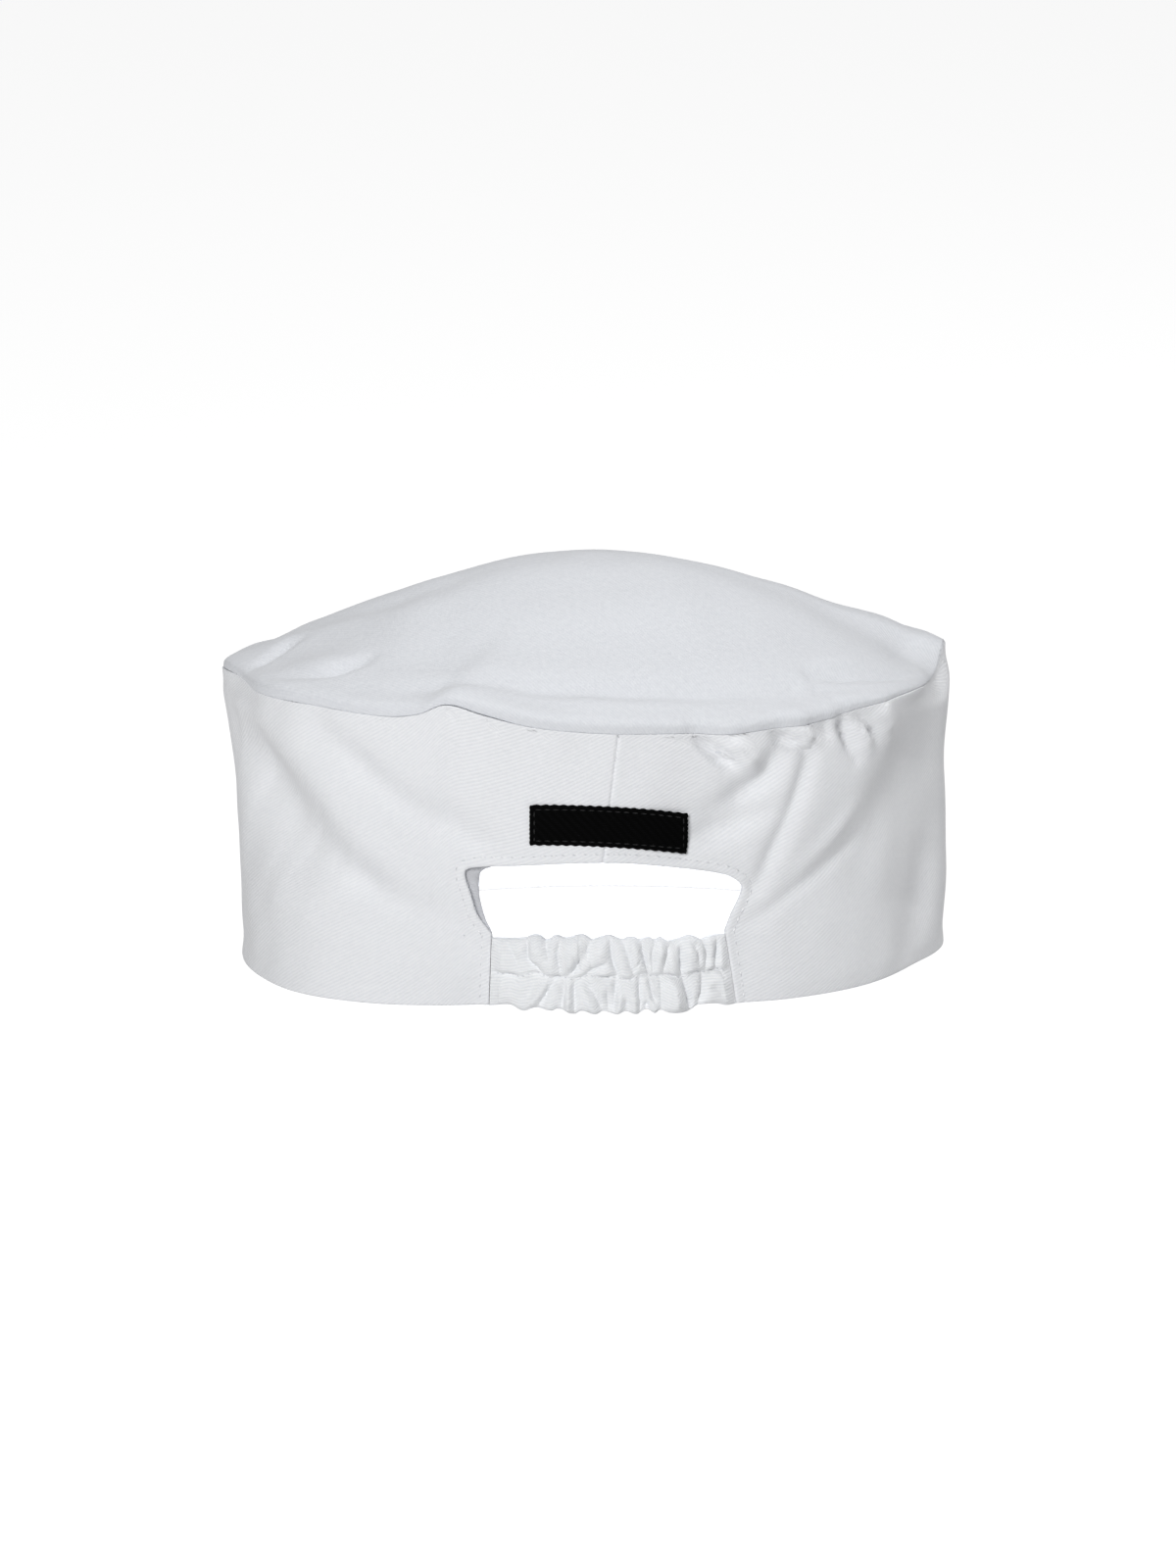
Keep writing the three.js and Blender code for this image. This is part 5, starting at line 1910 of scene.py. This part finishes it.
@dataclass
class Label:
    """The bare woven label, sewn flat above the opening with thread of its own black."""

    form: CapForm
    width: float = 46.0
    height: float = 11.7
    thickness: float = 0.6
    centre: float = 0.8
    up: float = 55.7
    tilt: float = -4.5
    bow: float = 1.3
    lift: float = 0.3
    # Its stitches run this far in from its edges, and press it down this far
    sewn_in: float = 1.1
    pressed: float = 0.12
    # Stitches along its long edges draw them in every 2.6 mm, and picks end every 1.3 mm at its sides
    edge_wave: float = 2.6
    end_wave: float = 1.3

    def laid(self, x: np.ndarray, z: np.ndarray) -> tuple[np.ndarray, np.ndarray]:
        """Lay the label on the band, seen from behind: its ends stay upright and its middle bows up.

        Args:
            x: How far along the label from its middle, in millimetres.
            z: How far up it from its middle, in millimetres.

        Returns:
            How far across and how high each place comes, in millimetres.
        """
        slope = math.tan(math.radians(self.tilt))
        return self.centre + x, self.up + x * slope + z + self.bow * (0.5 - (2 * x / self.width) ** 2)

    def build(self, material: bpy.types.Material, thread: bpy.types.Material) -> bpy.types.Object:
        """Make the label and the stitches round its edge.

        Args:
            material: The tape's finish.
            thread: The finish of its stitches.

        Returns:
            The label's object.
        """
        form = self.form
        along = np.linspace(-0.5, 0.5, 150)
        rise = np.linspace(-0.5, 0.5, 44)
        a, r = np.meshgrid(along, rise, indexing="ij")
        edge = 0.5 - np.abs(r)
        end = 0.5 - np.abs(a)
        scallop = 0.14 * np.cos(2 * np.pi * a * self.width / self.edge_wave + np.sign(r))
        picks = 0.09 * np.cos(2 * np.pi * r * self.height / self.end_wave)
        x = a * self.width + picks * bell(end, 0.012) * np.sign(a)
        z = r * self.height + scallop * bell(edge, 0.05) * np.sign(r)
        corner = bell(np.hypot((a - 0.5) * self.width, (r + 0.5) * self.height), 1.6)
        across, level = self.laid(x - 0.5 * corner, z)
        turn, share = form.place(across, level)
        base = form.wall(turn, share)
        out = form.wall_out(turn, share)
        along_edges = bell(edge * self.height - self.sewn_in, 0.35)
        along_ends = bell(end * self.width - self.sewn_in, 0.35)
        sunk = np.minimum(self.pressed * (along_edges + along_ends), self.pressed)
        off = self.lift + self.thickness - sunk + 0.5 * corner
        points = base + out * off[..., None]
        chart = np.stack([a * self.width, r * self.height], axis=-1)
        present = np.ones((len(along) - 1, len(rise) - 1), dtype=bool)
        cloth = ClothGrid(points, chart, present, self.thickness)
        label = Part(cloth.build("label_tape", form), material, Slot.LABEL, "label").dress()
        stitches = self.stitches(thread)
        return label

    def stitches(self, thread: bpy.types.Material) -> bpy.types.Object:
        """Sew the label on, all round.

        Args:
            thread: The stitches' finish.

        Returns:
            The stitches' object.
        """
        form = self.form
        half = np.array([self.width / 2 - self.sewn_in, self.height / 2 - self.sewn_in])
        corners = half * np.array([[-1, -1], [1, -1], [1, 1], [-1, 1], [-1, -1]])
        run = np.concatenate([[0.0], np.cumsum(np.linalg.norm(np.diff(corners, axis=0), axis=1))])
        at = np.linspace(0, run[-1], 300)
        x, z = (np.interp(at, run, corners[:, c]) for c in (0, 1))
        turn, share = form.place(*self.laid(x, z))
        out = form.wall_out(turn, share)
        line = form.wall(turn, share) + out * (self.lift + self.thickness - 0.1)
        row = StitchRow(length=2.0, pitch=2.6, radius=0.17, proud=0.14)
        return Part(row.build("label_stitches", form, line, out), thread, Slot.LABEL).dress()


@dataclass(frozen=True)
class SoftBox:
    """A soft square light: its place and side in metres, its power in watts, and where it points."""

    name: str
    place: tuple[float, float, float]
    side: float
    power: float
    aim: tuple[float, float, float]


CAP_MIDDLE = (-0.0019, -0.024, 0.058)

# The last one is faint and hangs in the hollow, so that the opening shows as pale as in the photo
SOFT_BOXES = (
    SoftBox("key_box", (-0.58, -1.43, 0.88), 0.55, 18.5, CAP_MIDDLE),
    SoftBox("top_box", (0.72, 0.12, 1.45), 0.9, 12.5, CAP_MIDDLE),
    SoftBox("hollow_fill", (0.0, -0.02, 0.076), 0.04, 0.16, (0.0, 0.08, 0.0)),
)


@dataclass
class Studio:
    """The pale sweep, the soft lights and the camera behind the cap and a little above it."""

    target: tuple[float, float, float] = CAP_MIDDLE
    azimuth: float = -4.5
    elevation: float = 14.0
    distance: float = 1.8
    view_height: float = 0.472
    sensor: float = 36.0
    # Half the side of the sweep, and how far under the hem it lies, in metres
    sweep_half: float = 8.0
    sweep_level: float = -0.0004
    # How bright the air is to the eye, and how much light it throws
    air_seen: float = 0.95
    air_thrown: float = 0.1

    def camera(self) -> None:
        """Set the camera at the photograph's angle."""
        a, e = math.radians(self.azimuth), math.radians(self.elevation)
        back = Vector((math.sin(a) * math.cos(e), -math.cos(a) * math.cos(e), math.sin(e)))
        data = bpy.data.cameras.new("camera")
        data.sensor_fit = "VERTICAL"
        data.sensor_height = self.sensor
        data.lens = self.sensor * self.distance / self.view_height
        data.clip_start, data.clip_end = 0.05, 30.0
        camera = bpy.data.objects.new("camera", data)
        camera.location = Vector(self.target) + back * self.distance
        camera.rotation_euler = (-back).to_track_quat("-Z", "Y").to_euler()
        bpy.context.scene.collection.objects.link(camera)
        bpy.context.scene.camera = camera

    @staticmethod
    def soft_light(box: SoftBox) -> None:
        """Hang one soft square light.

        Args:
            box: The light to hang.
        """
        data = bpy.data.lights.new(box.name, "AREA")
        data.shape = "SQUARE"
        data.size = box.side
        data.energy = box.power
        light = bpy.data.objects.new(box.name, data)
        light.location = box.place
        light.rotation_euler = (Vector(box.place) - Vector(box.aim)).to_track_quat("Z", "Y").to_euler()
        bpy.context.scene.collection.objects.link(light)

    def floor(self) -> None:
        """Lay the sweep under the cap."""
        half, level = self.sweep_half, self.sweep_level
        mesh = bpy.data.meshes.new("sweep")
        corners = [(-half, -half, level), (half, -half, level), (half, half, level), (-half, half, level)]
        mesh.from_pydata(corners, [], [(0, 1, 2, 3)])
        mesh.materials.append(SweepPaper().material())
        sweep = bpy.data.objects.new("sweep", mesh)
        bpy.context.scene.collection.objects.link(sweep)

    def air(self) -> None:
        """Light the air round the cap evenly and faintly, and keep it pale to the eye."""
        world = bpy.data.worlds.new("studio")
        world.use_nodes = True
        tree = world.node_tree
        tree.nodes.clear()
        strength = seen_or_thrown(tree, self.air_seen, self.air_thrown)
        white = {"Color": (1.0, 1.0, 1.0, 1.0), "Strength": strength}
        air = add_node(tree, "ShaderNodeBackground", None, white)
        add_node(tree, "ShaderNodeOutputWorld", None, {"Surface": air.outputs["Background"]})
        bpy.context.scene.world = world

    def build(self) -> None:
        """Set up the whole studio."""
        self.camera()
        self.floor()
        for box in SOFT_BOXES:
            self.soft_light(box)
        self.air()
        bpy.context.scene.view_settings.view_transform = "Standard"


def main() -> None:
    """Build the cap piece by piece and light it."""
    logging.basicConfig(level=logging.INFO, format="%(name)s: %(message)s")
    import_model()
    form = CapForm()
    columns = Columns(form)
    band_drill = CottonDrill(Slot.BAND, "#f4f5f7", "#dfe1e6").material()
    # The crown's drill is brushed: more nap on it and shallower ribs. Its whites are greyer than the band's,
    # as painted shade on the crown's upturned face
    crown_drill = CottonDrill(
        Slot.CROWN,
        "#e6e8ec",
        "#d3d6dc",
        rib_slant=-45.0,
        rib_depth=0.035,
        rib_shade=0.2,
        nap_depth=0.06,
        nap_shade=0.4,
    ).material()
    # The casing's whites are lighter than the band's, as painted light over its ruffles
    ruffled_drill = CottonDrill(
        Slot.CASING, "#f9fafb", "#e2e5ea", rib_slant=8.0, rib_depth=0.09, rib_shade=0.42
    ).material()
    # The facing's whites are greyer than the band's, as painted shade for the shadow it lies in behind the
    # band's edge
    facing_drill = CottonDrill(Slot.FACING, "#dcdde1", "#c8cad0", rib_slant=60.0).material()
    white_thread = SewingThread("white_thread", "#f6f6f8", "#d4d6da").material()
    black_thread = SewingThread("black_thread", "#111113", "#050506").material()
    SideBand(form, columns).build(band_drill, white_thread)
    Crown(form, columns).build(crown_drill)
    ElasticCasing(form).build(ruffled_drill, white_thread)
    OpeningFacing(form).build(facing_drill)
    Label(form).build(WovenSatinTape().material(), black_thread)
    Studio().build()


if __name__ == "__main__":
    main()
